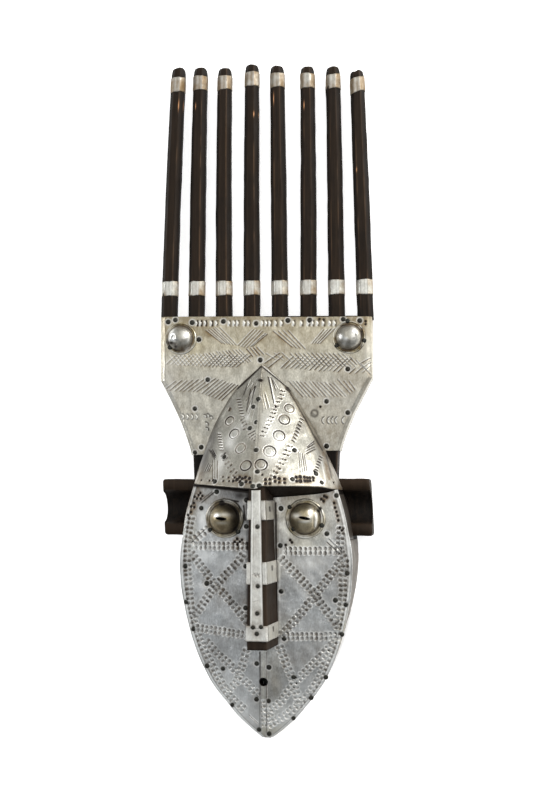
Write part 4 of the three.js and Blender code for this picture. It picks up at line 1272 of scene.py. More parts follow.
def tacks(name, places, radius, height=0.95):
    """Domed tack heads at (point, normal) places, each a little uneven."""
    random = np.random.default_rng(len(name) * 7 + len(places))
    around = 14
    turns = np.linspace(0, 2 * math.pi, around + 1)[:-1]
    share = np.array([0.0, 0.35, 0.65, 0.88, 1.0, 1.0])
    rise = np.array([1.0, 0.92, 0.7, 0.38, 0.1, -0.5])
    # Heads are darkened toward their rim
    darkening = np.repeat([0.0, 0.0, 0.05, 0.15, 0.45, 1.0], [1] + [around] * 5)
    points, faces = [], []
    for number, (point, normal) in enumerate(places):
        size = radius * random.uniform(0.92, 1.08)
        axes = turned(normal + random.normal(0, 0.07, 3))
        ovals = 1 + random.uniform(-0.06, 0.06, 2)
        flat = random.uniform(0.75, 1.05)
        x = size * ovals[0] * share[:, None] * np.cos(turns)
        y = size * ovals[1] * share[:, None] * np.sin(turns)
        z = height * flat * rise[:, None] - random.uniform(0.0, 0.3) * bell(np.hypot(x - 0.4, y), 0.8)
        local = np.stack([x, y, z], -1)[1:]
        points.append(np.concatenate([[[0, 0, z[0, 0]]], local.reshape(-1, 3)]) @ axes + point)
        top = number * len(darkening)
        rings = top + 1 + numbered(local.shape)
        looped = np.concatenate([rings, rings[:, :1]], 1)
        faces += quads_of(looped)[:, ::-1].tolist()
        faces += [[top, looped[0, k], looped[0, k + 1]] for k in range(around)]
    dirt = np.tile(darkening, len(places))
    layers = {"dirt": dirt, "rust": 0 * dirt + 0.15, "shine": 0 * dirt}
    made = make_object(name, np.concatenate(points), faces, TACK_METAL, layers)
    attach(made, "root")
    return made


def sleeve(index, low, tilt):
    """Band hammered round a prong."""
    y = np.linspace(low, low + PRONG["band"], 16)
    steps = np.linspace(0.05, 0.95, 6)
    outside = octagon(index, y, 1.0, 0.5 * BAND, steps)
    inside = octagon(index, y[[0, -1]], 1.0, -0.5 * BAND, steps)
    rings = np.concatenate([inside[:1], outside, inside[1:]])
    uneven = 0.15 * noise(rings[..., 0] * 2 + rings[..., 2] * 2, rings[..., 1], 5, 500 + index)
    rings = rings + unit(rings - rings.mean(1, keepdims=True)) * uneven[..., None]
    across = rings[..., 0] - rings[..., 0].mean(1, keepdims=True)
    share = np.linspace(-1, 1, len(rings))[:, None]
    rings[..., 1] += tilt * across + 0.5 * share * noise(across * 1.3, 0 * across + low, 4, 510 + index)
    return np.concatenate([rings, rings[:, :1]], 1)


def prong_band(index, place, low, tilt, stained, darkened):
    points = sleeve(index, low, tilt)
    share = np.linspace(-1, 1, len(points))[:, None]
    x, y, z = np.moveaxis(points, -1, 0)
    side = 1 - np.clip((z - PRONG["depth"]) / 6, 0, 1)
    blotch = fractal(x + 0.4 * z, y, 6, 520 + 3 * index + len(place))
    across = x - x.mean(1, keepdims=True)
    # Stain toward the ends, the lower sides and the right side, there partly painted shade
    stain = 0.6 * smooth((np.abs(share) - 0.6) / 0.4) + 0.5 * side + 0.5 * blotch - 0.2 * share
    stain += 0.4 * smooth((across - 2.5) / 1.5) + stained
    # Ends and lower sides darkened; two lines of painted highlight along the band
    layers = {
        "dirt": 0.5 * (np.abs(share) > 0.98) + 0.15 * side + darkened,
        "rust": np.clip(stain, 0, 1) * 0.9,
        "shine": 0.6 * bell(across - 2.2, 0.7) + 0.4 * bell(across + 1.5, 1.5),
    }
    faces = quads_of(numbered(points.shape))[:, ::-1]
    made = make_object(f"prong_band_{place}_{index + 1}_made", points, faces, BAND_METAL, layers)
    stand_for(made, f"prong_band_{place}_{index + 1}")


def prong_bands():
    for index in range(PRONG["count"]):
        lower = BOARD["top"] + PRONG["lower_rise"] - PRONG["lower_drop"] * index
        upper = PRONG_LENGTHS[index] - UPPER_BAND_DROPS[index]
        prong_band(index, "lower", lower, 0.02, -0.05, 0.0)
        prong_band(index, "upper", upper, UPPER_BAND_TILTS[index], 0.7, 0.12)


def nose_band(low, high):
    """Strip of sheet folded over the nose and down both its sides."""
    seed = 140 + int(low)
    y = np.linspace(low, high, int((high - low) / NOSE_BAND["row"]))[:, None]
    top = NOSE["front"] + SKIN
    front_x = np.linspace(0, 1, NOSE_BAND["columns"])[None, :]
    front = grid_of(mix(nose_edge(y, top, 0) - SKIN, nose_edge(y, top, 1) + SKIN, front_x), y, top)
    down = np.linspace(0, 1, NOSE_BAND["side_rows"])[None, 1:]

    def side(which, sign):
        foot = face_height(nose_edge(y, 60, which), y) + SKIN + NOSE_BAND["clear"]
        z = mix(top - NOSE_BAND["corner"], foot, down)
        return grid_of(nose_edge(y, z, which) + sign * SKIN, y, z)

    grid = np.concatenate([side(0, -1)[:, ::-1], front, side(1, 1)], 1)
    band = Sheet(grid, seed)
    arc = np.tile(np.arange(grid.shape[1]) * 1.2, len(grid))
    _, across, height = band.points.T
    band.relief += 0.25 * noise(arc, across, 9, seed) + 0.12 * noise(arc, across, 4, seed + 1)
    from_edge = np.minimum(across - low, high - across)
    beside = height < NOSE_BAND["beside"]
    band.rust += 0.6 * bell(from_edge, 1.3) + 0.25 * beside
    band.warm += 0.6 * beside
    # Painted highlight on the band's sides and along the fold over the nose's front
    band.shine += 0.75 * beside + 0.7 * bell(height - top + 1, 1.3)
    streak = noise(height * 2, across * 0.15, 2.5, seed + 2)
    band.rust += 0.45 * np.clip(streak, 0, 1) * beside
    band.dirt += 0.35 * bell(from_edge, 0.6)
    # Painted shade for each dark slit on the band's side
    for px, py in NOSE_SLITS:
        band.smear("dirt", (px, py - 2), (px + 0.3, py + 2), 0.75, 0.9)
    return band


# Marks read off the photograph, in its pixels

LEFT_FACE_ROWS = [
    [(191, 517.8), (187.2, 542), (187.2, 562.4), (188.9, 585.5), (190.4, 603.4), (193, 618.7),
     (197.4, 632.7), (201.9, 645.5), (208.3, 658.2), (214.6, 669.7), (222.3, 683.7), (227.4, 692.7),
     (233.8, 700.3), (242.7, 708)],
    [(195.5, 545.9), (246.5, 545.9)],
    [(191.7, 542), (207, 529.3)],
    [(191.7, 553.5), (210.8, 579), (217.2, 589.2), (222.3, 591.9), (246.5, 621.2)],
    [(242.7, 554.8), (237.6, 562.6), (214.6, 586.7), (193, 618.7)],
    [(197.4, 627.6), (246.5, 635.3)],
    [(207, 641.6), (218.5, 654.4), (231.2, 665.9), (238.9, 674.8), (247.8, 683.7), (258, 695.2)],
    [(246.5, 650.6), (241.4, 668.4), (236.3, 682.4), (230, 688.8)],
]
RIGHT_FACE_ROWS = [
    [(340.9, 528), (339.6, 551), (345.4, 562.4), (342.8, 576.6), (342.8, 593.2), (340.9, 611),
     (338.4, 623.8), (337.1, 635.3), (329.4, 654.4), (324.3, 665.9), (319.2, 678.6), (312.9, 688.8),
     (305.2, 697.8), (297.6, 705.4), (288.6, 713.1), (278.4, 719.4), (269.5, 724.5)],
    [(284.8, 551), (339.6, 551)],
    [(281, 558.6), (284.8, 562.6), (312.9, 591.9), (316.7, 598.3), (338.4, 626.3)],
    [(340.9, 561.2), (321.8, 586.8), (298.8, 616.1), (282.2, 634)],
    [(287.3, 636.5), (339.6, 636.5)],
    [(334.5, 641.6), (323.1, 654.4), (307.8, 669.7), (295, 682.4), (281, 701.6), (268.2, 711.8)],
    [(279.7, 646.7), (286.1, 664.6), (292.4, 678.6), (297.6, 697.8), (298.8, 706.7)],
    [(268.2, 710.5), (272, 724.5)],
    [(261.8, 701.6), (264.4, 724.5)],
]
FACE_TACKS = [
    (216.6, 491.7), (201.3, 508.2), (246.1, 500.2), (210.6, 529.7), (238.2, 531.6), (246.1, 526.5),
    (281, 508.5), (289.9, 507), (293.7, 528.9), (322.2, 525.5), (326.9, 533.8), (280.3, 545.6),
    (336.5, 495.5), (185.1, 566.3), (245.5, 566.3), (206.6, 583.5), (185.9, 602), (281, 591.4),
    (245.5, 608), (335.4, 600.3), (346, 604.8), (347.3, 573.3), (193.2, 628.9), (284.2, 638.7),
    (342.2, 634.4), (256.7, 663.6), (268.9, 667.4), (222.9, 668.7), (207, 665.9), (293.5, 677.1),
    (326, 677.3), (256.5, 699.4), (268.6, 700.9), (311.2, 697.8), (232.2, 705.2), (293.5, 718.2),
    (258.9, 729.6), (269.2, 733.7),
]
BOARD_TACKS = [
    (168.1, 321.9), (175.3, 319.9), (192.1, 322.5), (223.2, 321.4), (256.1, 323.4), (287.8, 320.4),
    (309.6, 319.9), (343.2, 319.3), (347.9, 321.1), (359.7, 320.6), (198.7, 339.5), (170.2, 347.5),
    (336.7, 345.6), (364.3, 340.6), (260.2, 360), (207.7, 379.6), (194.8, 408.7), (347.8, 368.9),
    (326.5, 401.3), (347.8, 412.5), (201.3, 447.3), (194.8, 452.6), (326.5, 446.2),
]
BROW_TACKS = [
    (258.3, 398.8), (253.1, 406.5), (256.2, 422), (249.7, 428), (256.2, 450), (257.4, 471.5), (252.9, 486),
    (259, 485.5), (241.5, 484), (214.7, 481.4), (294.6, 450), (292.5, 479.3), (321.8, 482.3),
    (224.2, 456.9), (316.1, 473.7),
]
NOSE_TACKS = [(257.4, 526.7), (257.8, 586.3), (257.1, 613.5), (252.9, 627.6), (260.9, 627.3), (256.5, 634)]

# Hatched groups: first line, last line, number of lines, depth
BOARD_HATCHES = [
    (((205.5, 330.7), (222, 343.6)), ((218.7, 327.1), (236.6, 345.7)), 6, 0.3),
    (((237.3, 346.4), (253.7, 329.3)), ((246, 348), (263, 331)), 4, 0.32),
    (((250.5, 347.4), (265.5, 333.6)), ((252.3, 347), (267.3, 334.3)), 2, 0.45),
    (((272.7, 331.1), (292.4, 347.8)), ((287.3, 331.1), (305.5, 349.3)), 4, 0.3),
    (((311.3, 344.2), (323.6, 329.6)), ((319.3, 344.2), (335.3, 328.9)), 4, 0.3),
    (((166, 365), (176, 355.5)), ((200, 367), (211, 355.5)), 9, 0.16),
    (((204, 367.2), (216, 355)), ((236, 367.5), (251, 354.5)), 9, 0.34),
    (((169, 356), (178, 366)), ((203, 353.5), (212, 366)), 10, 0.16),
    (((206, 353.5), (216.2, 367.1)), ((238.7, 349.3), (251.5, 362.5)), 11, 0.34),
    (((245.9, 348.6), (253, 356.5)), ((256.6, 347.1), (263.7, 355)), 4, 0.4),
    (((264, 363.8), (280, 352.9)), ((267.6, 368.2), (283, 356)), 2, 0.3),
    (((280.4, 368.2), (294, 356)), ((338, 372.5), (352, 358.5)), 13, 0.34),
    (((265.5, 352.9), (274.9, 360.2)), ((281, 352.5), (291, 362)), 3, 0.26),
    (((290, 353), (302, 366)), ((341.8, 353.6), (355.6, 367.5)), 13, 0.34),
    (((349.1, 374), (356, 368)), ((362, 373), (371, 365.5)), 3, 0.3),
    (((349.8, 357.3), (357, 365.3)), ((360.7, 363.8), (370.9, 374)), 3, 0.36),
    (((360.7, 363.8), (370.9, 358)), ((363, 368), (371.5, 362)), 2, 0.26),
    (((165.1, 391), (176, 381)), ((196.6, 392.1), (215.1, 378.6)), 8, 0.26),
    (((201, 393.4), (219, 379.8)), ((221, 400.7), (238, 385)), 7, 0.34),
    (((288, 381), (303, 398)), ((333, 383), (346, 396.5)), 12, 0.3),
    (((337.5, 379.8), (350.5, 393.6)), ((349.1, 381.3), (355.6, 390)), 3, 0.36),
]
BORDER_BARS = [
    196.9, 200.9, 205.5, 211.6, 216.6, 229.4, 234.4, 238, 244.8, 249.1, 262.6, 266.5, 270.2, 276, 281.8,
    293.8, 301.8, 308.4, 312.7, 317.8, 323.6, 330.2, 334.9,
]
# Row of the bars in pixels, their half height in mm, and how many of the first ones are dark
BORDER_BAR_Y, BORDER_BAR_HALF, BORDER_DARK = 323.4, 2.3, 4
BOARD_PITS = [(365.5, 321.3), (365.5, 324.2), (319.3, 319.1), (323.6, 319.8), (320.2, 406.8)]
LEFT_CRESCENTS = [182.9, 187.5, 192.1, 196.7]
RIGHT_CRESCENTS = [323, 328.3, 332.2, 336, 342.9]
CRESCENT_Y = {"left": 417.0, "right": 420.5}
LOOSE_CRESCENTS = [(205.4, 416), (208.4, 415.3), (207, 423.6), (207.4, 428.8), (211.5, 417.5)]
BOARD_DENT = (314.4, 413.4)

BROW_HATCHES = [
    (((306.7, 446.1), (314.4, 441)), ((306.3, 453), (315.5, 448.6)), 4, 0.45),
    (((298.1, 451.3), (299.8, 472.8)), ((304.5, 454.7), (306.7, 471.1)), 4, 0.26),
    (((209.2, 449.6), (215.2, 459.9)), ((213, 449.6), (216.5, 457)), 3, 0.4),
    (((212.7, 460), (212.7, 480)), ((217.8, 460), (217.8, 480)), 3, 0.26),
    (((204.5, 472), (208.5, 463.4)), ((208.5, 472), (211.5, 464.5)), 3, 0.3),
    (((268.8, 376.4), (273.9, 403.1)), ((268.8, 376.4), (273.9, 403.1)), 1, 0.4),
    (((270.5, 376.5), (275.5, 389)), ((272.5, 379.5), (278, 389)), 2, 0.24),
    (((264.5, 391.9), (268.8, 408.2)), ((262.4, 394), (266, 409)), 2, 0.3),
    (((257, 377.2), (245.8, 390.1)), ((255.3, 388.4), (246.7, 411.7)), 3, 0.26),
    (((255.3, 403.1), (250.1, 422)), ((252, 404), (247.6, 416)), 2, 0.24),
    (((247.7, 387), (252, 379.5)), ((251, 388), (254, 382)), 2, 0.2),
]
# Rings of the brow: pixel, radius in mm, darkness; those beyond a column have a second ring inside
RINGS_DOUBLE_FROM = 256
BROW_RINGS = [
    (229.5, 420.7, 4.6, 0.5), (234.2, 433.6, 5.0, 0.55), (240.4, 448.3, 5.2, 0.3),
    (245.8, 465.5, 5.3, 0.95), (289.5, 408.2, 4.6, 0.35), (284.3, 419.4, 5.2, 0.5),
    (279.1, 435.4, 5.5, 0.5), (269.6, 451.3, 5.7, 0.5), (261, 464.7, 5.6, 0.8),
]
# Twin-mark rows of the brow: path, pitch, half gap, mark size, darkness
BROW_ROWS = [
    ([(242.4, 418.5), (244.9, 423.4), (245.6, 427.8)], 3.6, 1.3, 1.2, 0.8),
    ([(283.4, 390.5), (276, 406.5), (268, 424), (262.2, 435.2)], 4.0, 1.15, 1.1, 1.0),
    ([(290, 445.5), (285.3, 456), (279.8, 465.3), (272.8, 475.5)], 4.6, 1.45, 1.3, 0.95),
    ([(223.2, 454.2), (227.3, 463), (234.6, 473.5)], 4.4, 1.5, 1.4, 0.8),
    ([(249.6, 433.7), (251.5, 437.3), (255.1, 439.5)], 2.8, 1.1, 1.0, 0.9),
    ([(253.3, 431.5), (255.8, 438.8)], 2.8, 1.0, 1.0, 0.8),
]
# Rows of slanted dashes across the row: path, pitch, dash length
BROW_DASHES = [
    ([(238.6, 399.2), (242.4, 416)], 3.0, 4.6),
    ([(219.3, 434), (221.8, 450)], 2.6, 4.4),
    ([(302, 419), (297.5, 430.5), (293.2, 440.5)], 3.0, 4.2),
    ([(321.2, 457), (318.4, 464), (316.4, 470)], 2.7, 3.6),
]
# Pricked holes along the hood's lower edge: pixel and radius
BROW_BOTTOM_LEFT = [
    (209.7, 480.6, 0.8), (213, 480.2, 1.1), (214.9, 481.4, 1.5), (222.8, 476.8, 0.8), (223.2, 480.8, 0.9),
    (228.4, 477.3, 0.8), (228.9, 481, 0.9), (233, 480.9, 1.3), (234.6, 477.4, 1.0), (236.8, 479.6, 1.6),
    (239.5, 477.2, 1.4), (239.8, 481.6, 1.3), (242.2, 478.6, 1.3), (245.3, 477.4, 1.3), (245.8, 481.6, 1.4),
    (249.3, 478.2, 1.3), (249.9, 482, 1.3), (253.4, 478.4, 1.2), (253.8, 482, 1.1), (259.7, 480.7, 0.9),
]
BROW_BOTTOM_RIGHT = [
    (265.3, 479.4, 1.2), (265.4, 483.4, 1.3), (269.7, 479.2, 1.1), (269.8, 483.4, 1.2), (274.7, 477.2, 1.4),
    (274.9, 481.2, 1.2), (279, 478.4, 1.3), (279.1, 482.2, 1.0), (284.4, 479, 1.2), (284.5, 482.6, 1.1),
    (296.1, 477.2, 1.3), (296.6, 481.2, 1.2), (300, 477, 1.5), (300.2, 481.2, 1.6), (304.3, 477.4, 1.3),
    (304.7, 481, 1.3), (307.4, 477.9, 1.2), (307.6, 481, 1.1), (309.9, 477.8, 1.1), (310, 480.8, 1.1),
    (313.1, 477.6, 1.2), (313.2, 480.3, 0.9), (316, 473.2, 1.7), (314.6, 471.4, 1.0),
]
BROW_HOLES = [
    (254.9, 387.1), (275.7, 406.5), (315.7, 473.7), (214.4, 480.6), (201.5, 480.2), (262.2, 474.6),
]
FACE_DOTS = [
    (334.9, 507.8), (336.3, 511.9), (337.4, 515.9), (338.3, 520.5), (321.1, 499.4), (323.4, 501.3),
    (324.2, 496.3), (326.5, 497.5), (290, 540.3), (291.7, 542.6), (334, 503.2), (339.8, 527.6),
    (341.6, 530.6), (285.5, 545.2),
]
LEFT_FACE_DOTS = [
    (200.3, 493), (202.3, 496), (200.6, 498.7), (194.4, 496.8), (196.8, 498.7), (198.6, 495.2),
    (193.6, 503.2), (190.9, 506.6), (194.1, 507.4), (190.7, 512.3), (187.9, 515.2), (237.2, 539),
    (239.8, 541.8), (237.5, 544.8), (242, 540), (234.8, 542),
]
RIGHT_FACE_LINES = (((329.4, 539.5), (342.2, 552.2)), ((326.9, 541.4), (339.4, 554)), 2, 0.35)
CHIN_LINE = (((249, 715.6), (258, 723.3)), ((249, 715.6), (258, 723.3)), 1, 0.3)
BROW_CUTS = [((259.2, 380.2), (261.8, 380.2)), ((228.6, 411), (230.3, 407.3)), ((287, 387), (289.6, 389.4))]
# Dark lines on the cheeks, lapped seams and painted shadow under the hood and beside the nose: two pixels,
# width in pixels and amount
FACE_SEAMS_AND_SHADOWS = {
    "left": [
        (259.6, 652, 259.9, 729, 0.5, 0.4), (214, 492.5, 201.8, 502.5, 0.7, 0.6),
        (211.5, 492, 199.5, 501.5, 0.5, 0.4), (205, 529.5, 191.4, 542.3, 0.5, 0.5),
        (223, 499, 238, 501.5, 0.7, 0.7), (243.6, 506, 245, 520, 0.8, 0.7),
        (247.5, 500, 248, 645, 2.0, 0.42), (194, 485, 249, 490.8, 1.7, 1.0),
    ],
    "right": [
        (259.9, 652, 260.2, 729, 0.55, 0.9), (266.5, 652, 266.5, 733, 0.4, 0.5),
        (275.7, 503, 277.2, 639, 0.8, 1.0),
    ],
}
NOSE_SLITS = [(269.7, 509), (272, 568), (273.2, 629)]
STRIP_SCRATCHES = [
    (((252.5, 575.5), (255.5, 573.5)), ((255.5, 577), (259.5, 574)), 3, 0.3),
    (((254, 573), (256.5, 577.5)), ((257, 573), (259, 577)), 2, 0.3),
    (((252.5, 602), (259, 600.5)), ((252.5, 602), (259, 600.5)), 1, 0.06),
    (((252.8, 519), (253.4, 560)), ((261, 521), (261.6, 566)), 2, 0.08),
]
# Broad patches of painted highlight and painted shade, and of stain and tint: pixel, radii in pixels and
# amount, by field
CHEEK_PATCHES = {
    "left": {
        "shine": [
            (203, 520, 5, 15, 1.0), (204, 556, 9, 11, 0.7), (190, 580, 6, 8, 0.3), (246, 722, 14, 12, 0.35),
            (244, 704, 16, 10, 0.2), (186, 622, 6, 14, 0.4), (230, 690, 10, 10, 0.2),
            (262, 724, 6, 12, 0.3), (200, 655, 8, 20, 0.2), (226, 668, 8, 8, 0.25), (236, 678, 8, 6, 0.35),
            (252, 655, 6, 10, 0.15), (190, 545, 6, 12, 0.25), (251, 560, 5, 16, 0.35),
            (204, 598, 6, 10, 0.4), (188, 605, 5, 14, 0.35), (222, 562, 9, 9, 0.25), (192, 650, 6, 22, 0.5),
            (222, 688, 20, 14, 0.5), (240, 715, 20, 14, 0.55), (252, 682, 10, 14, 0.4),
        ],
        "dirt": [
            (190, 497, 6, 8, 0.2), (225, 494, 8, 4, 0.18), (240, 495, 8, 5, 0.45), (243, 520, 3, 8, 0.2),
            (250, 496, 4, 8, 0.5), (240, 531, 5, 6, 0.16), (252, 620, 5, 28, 0.1), (240, 592, 8, 16, 0.08),
            (238, 640, 9, 8, 0.1), (224, 655, 10, 6, 0.1), (240, 500, 9, 9, 0.2), (238, 596, 8, 10, 0.1),
            (214, 646, 12, 9, 0.05), (220, 495, 10, 5, 0.12), (251, 604, 4, 16, 0.12),
        ],
        "warm": [
            (220, 700, 12, 20, 0.2), (190, 530, 6, 24, 0.3),
        ],
        "rust": [
            (216, 500, 14, 8, 0.4), (192, 500, 8, 12, 0.45), (238, 545, 8, 7, 0.55),
            (247, 606, 5, 10, 0.35),
        ],
    },
    "right": {
        "shine": [
            (263.2, 690, 2, 40, 0.3), (290, 700, 18, 16, 0.15), (318, 556, 22, 8, 0.2),
            (280, 724, 16, 12, 0.45), (300, 704, 12, 12, 0.3), (279.8, 590, 0.8, 60, 0.7),
            (302, 548, 16, 7, 0.35), (312, 562, 12, 9, 0.3), (283, 560, 6, 12, 0.5), (284, 530, 4, 12, 0.3),
            (301, 578, 8, 8, 0.2), (344, 612, 6, 14, 0.4), (330, 655, 8, 18, 0.5), (312, 690, 16, 14, 0.55),
            (282, 718, 20, 14, 0.7), (296, 676, 9, 9, 0.2),
        ],
        "warm": [
            (263.2, 690, 2, 40, 0.3), (303, 520, 24, 24, 0.5), (275, 725, 14, 10, 0.8),
            (274, 680, 9, 34, 0.15), (343, 630, 4, 40, 0.4), (302, 546, 14, 4, 0.2),
        ],
        "rust": [
            (274, 676, 8, 30, 0.16), (283, 508, 4, 10, 0.3), (326, 500, 14, 8, 0.35),
            (300, 497, 18, 4, 0.6), (330, 528, 7, 8, 0.2), (279, 548, 5, 6, 0.6),
        ],
        "dirt": [
            (322, 496, 8, 5, 0.2), (333, 592, 9, 6, 0.14), (322, 635, 10, 22, 0.08), (328, 597, 9, 8, 0.12),
            (300, 655, 8, 9, 0.02),
        ],
    },
}
# Painted shade, stain, painted highlight and tint on both brow sheets: pixel, radii in pixels and amount,
# by field
BROW_PATCHES = {
    "dirt": [
        (247, 389, 9, 13, 0.22), (240, 402, 8, 10, 0.12), (253, 378, 5, 10, 0.12), (218, 422, 5, 10, 0.34),
        (212, 438, 5, 12, 0.4), (203, 462, 5, 16, 0.5), (225, 452, 4, 5, 0.25), (210, 478, 8, 5, 0.16),
        (214, 455, 2.5, 6, 0.3), (248, 446, 3, 8, 0.1), (256, 410, 3, 20, 0.08), (290, 398, 5, 10, 0.12),
        (262, 377, 6, 8, 0.2), (208, 452, 4, 14, 0.35), (216, 434, 4, 16, 0.16), (228, 402, 5, 12, 0.2),
        (265, 470, 4, 4, 0.2), (296, 426, 4, 6, 0.2), (318, 438, 4, 12, 0.25), (286, 424, 6, 10, 0.1),
        (298, 452, 8, 6, 0.08), (312, 464, 6, 8, 0.12), (248, 479, 16, 4, 0.12), (282, 480, 16, 4, 0.1),
        (303, 424, 5, 12, 0.22), (312, 446, 6, 12, 0.24), (320, 462, 5, 12, 0.3), (302, 438, 7, 10, 0.22),
        (316, 474, 5, 5, 0.12), (308, 482, 10, 4, 0.15), (260.4, 380.2, 2.4, 1.2, 1.0),
    ],
    "rust": [
        (201, 474, 6, 8, 0.5), (228, 420, 5, 6, 0.2), (326, 474, 5, 9, 0.7), (290, 481, 26, 5, 0.35),
        (240, 479, 14, 6, 0.3), (261, 463, 2.2, 5, 0.4), (252, 462, 2, 22, 0.3),
    ],
    "shine": [
        (236, 431, 4, 6, 0.6), (230, 443, 5, 7, 1.0), (221, 462, 3.5, 10, 0.8), (247.5, 417, 2.2, 3.5, 0.8),
        (242, 426, 2.4, 3, 0.6), (207.6, 440, 1.4, 5, 0.9), (268, 428, 8, 24, 0.5), (278, 440, 6, 14, 0.4),
        (270, 458, 8, 8, 0.4),
    ],
    "warm": [
        (266, 396, 5, 14, 0.3),
    ],
}
# Lines of painted shade, painted highlight and stain on the brow: two pixels, width in pixels and amount,
# by field
BROW_LINES = {
    "left": {
        "dirt": [
            (261, 366.8, 238, 389, 0.9, 0.6), (250.7, 389.7, 246.3, 410.2, 0.6, 0.5),
            (255, 386, 251.5, 404, 0.6, 0.45), (247.6, 384, 243.8, 395, 0.6, 0.4),
        ],
        "shine": [
            (252.5, 391, 248.5, 412, 0.6, 0.5),
        ],
    },
    "right": {
        "dirt": [
            (262.2, 366.8, 288, 387.5, 0.7, 0.8), (288.1, 388, 322.5, 450.5, 0.7, 0.5),
            (286.8, 388.6, 290, 390, 1.3, 0.9), (267.8, 376.5, 273.3, 401.4, 0.6, 0.5),
            (271.9, 377.4, 275.6, 390.3, 0.6, 0.45), (265, 395, 267.8, 407.9, 0.6, 0.4),
            (261.5, 399, 262.5, 412, 0.6, 0.35), (326, 455, 331.5, 478, 0.6, 0.5),
        ],
        "shine": [
            (264, 366.8, 290, 388, 0.8, 0.8), (269.5, 378, 275, 402, 0.7, 0.6),
            (321.5, 462, 325.5, 482, 0.7, 0.6),
        ],
        "rust": [
            (323, 453, 328.8, 479, 1.2, 0.9),
        ],
    },
}
# Stain, tint, painted highlight and painted shade on the board: pixel, radii in pixels and amount, by field
BOARD_PATCHES = {
    "rust": [
        (196, 334, 16, 5, 0.35), (209, 333, 3, 6, 0.4), (258, 340, 9, 3, 0.35), (195, 324, 14, 4, 0.3),
        (352, 322, 14, 4, 0.5), (166, 330, 3, 8, 0.4), (364, 332, 4, 12, 0.35), (205, 450, 5, 5, 0.3),
    ],
    "warm": [
        (188, 345, 14, 14, 0.3), (240, 344, 30, 8, 0.1),
    ],
    "shine": [
        (368, 350, 5, 20, 0.3), (184, 345, 10, 9, 0.12), (170, 385, 6, 20, 0.25), (175, 362, 10, 8, 0.15),
        (344, 398, 22, 30, 0.06),
    ],
    "dirt": [
        (208, 424, 4, 12, 0.16), (228, 402, 10, 8, 0.05), (203, 462, 4, 8, 0.15), (316, 412, 3, 5, 0.15),
        (326, 470, 3, 10, 0.15), (356, 345, 10, 14, 0.04),
    ],
}
# Bosses: slit's length, width, rise and tilt in mm; dents as x, y, radius and depth in mm;
# marks of painted highlight, painted shade, stain and tint as pixel, radii in pixels and amount,
# by field; creases as two pixels, width in pixels and depth in mm
EYE_BOSS_LOOKS = {
    "left": {
        "slit": (10.3, 2.6, 0.8, -0.06),
        "dents": [(4, -5, 4, 0.5)],
        "marks": {
            "warm": [
                (220, 518, 10, 14, 0.25),
            ],
            "dirt": [
                (229, 508, 8, 5, 0.5), (235, 519, 5, 9, 0.6), (236, 530, 5, 4, 0.35),
                (221.8, 502.6, 2.8, 3.2, 1.0), (222, 520.6, 3.5, 0.9, 0.5), (240, 505.5, 1.4, 5, 0.7),
                (243.4, 516, 1.0, 5, 0.8),
            ],
            "shine": [
                (217, 515.5, 2.6, 1.8, 1.0), (224, 514.5, 8, 2.2, 0.45), (222, 523, 5, 1.6, 0.25),
                (240.5, 502.5, 2.2, 2.4, 0.7), (242, 514, 1.2, 4, 0.6),
            ],
            "rust": [
                (222, 529, 9, 5, 0.5),
            ],
        },
    },
    "right": {
        "slit": (10.3, 2.6, 1.3, -0.18),
        "dents": [(7, -2, 3.5, 0.8), (1, -7, 4, 0.8)],
        "marks": {
            "shine": [
                (303, 520, 12, 12, 0.12), (296, 515.5, 4, 2.6, 1.0), (310.5, 513.5, 2.4, 6, 0.9),
                (305, 521.5, 5, 1.4, 0.6), (316.3, 516, 1.6, 5, 0.85), (315.5, 524, 1.4, 4, 0.7),
                (307, 517.8, 2.4, 0.9, 0.5), (321.5, 516, 1.2, 5, 0.7), (308, 499, 7, 1.2, 0.5),
                (303, 537, 8, 1.4, 0.5),
            ],
            "warm": [
                (303, 518, 15, 15, 0.42),
            ],
            "dirt": [
                (304, 507, 8, 4, 0.42), (298, 522.5, 4.5, 2.4, 0.3), (320.4, 508.2, 2.0, 2.0, 1.0),
                (323, 505.5, 0.9, 2.2, 0.9), (318, 511, 1.8, 0.9, 0.8),
            ],
            "rust": [
                (306, 529, 9, 4, 0.45), (293.4, 517, 1.4, 9, 0.6),
            ],
        },
        "creases": [(313.8, 508.5, 313.4, 527, 0.9, 0.9), (318.6, 508, 319.4, 520, 0.8, 0.6)],
    },
}
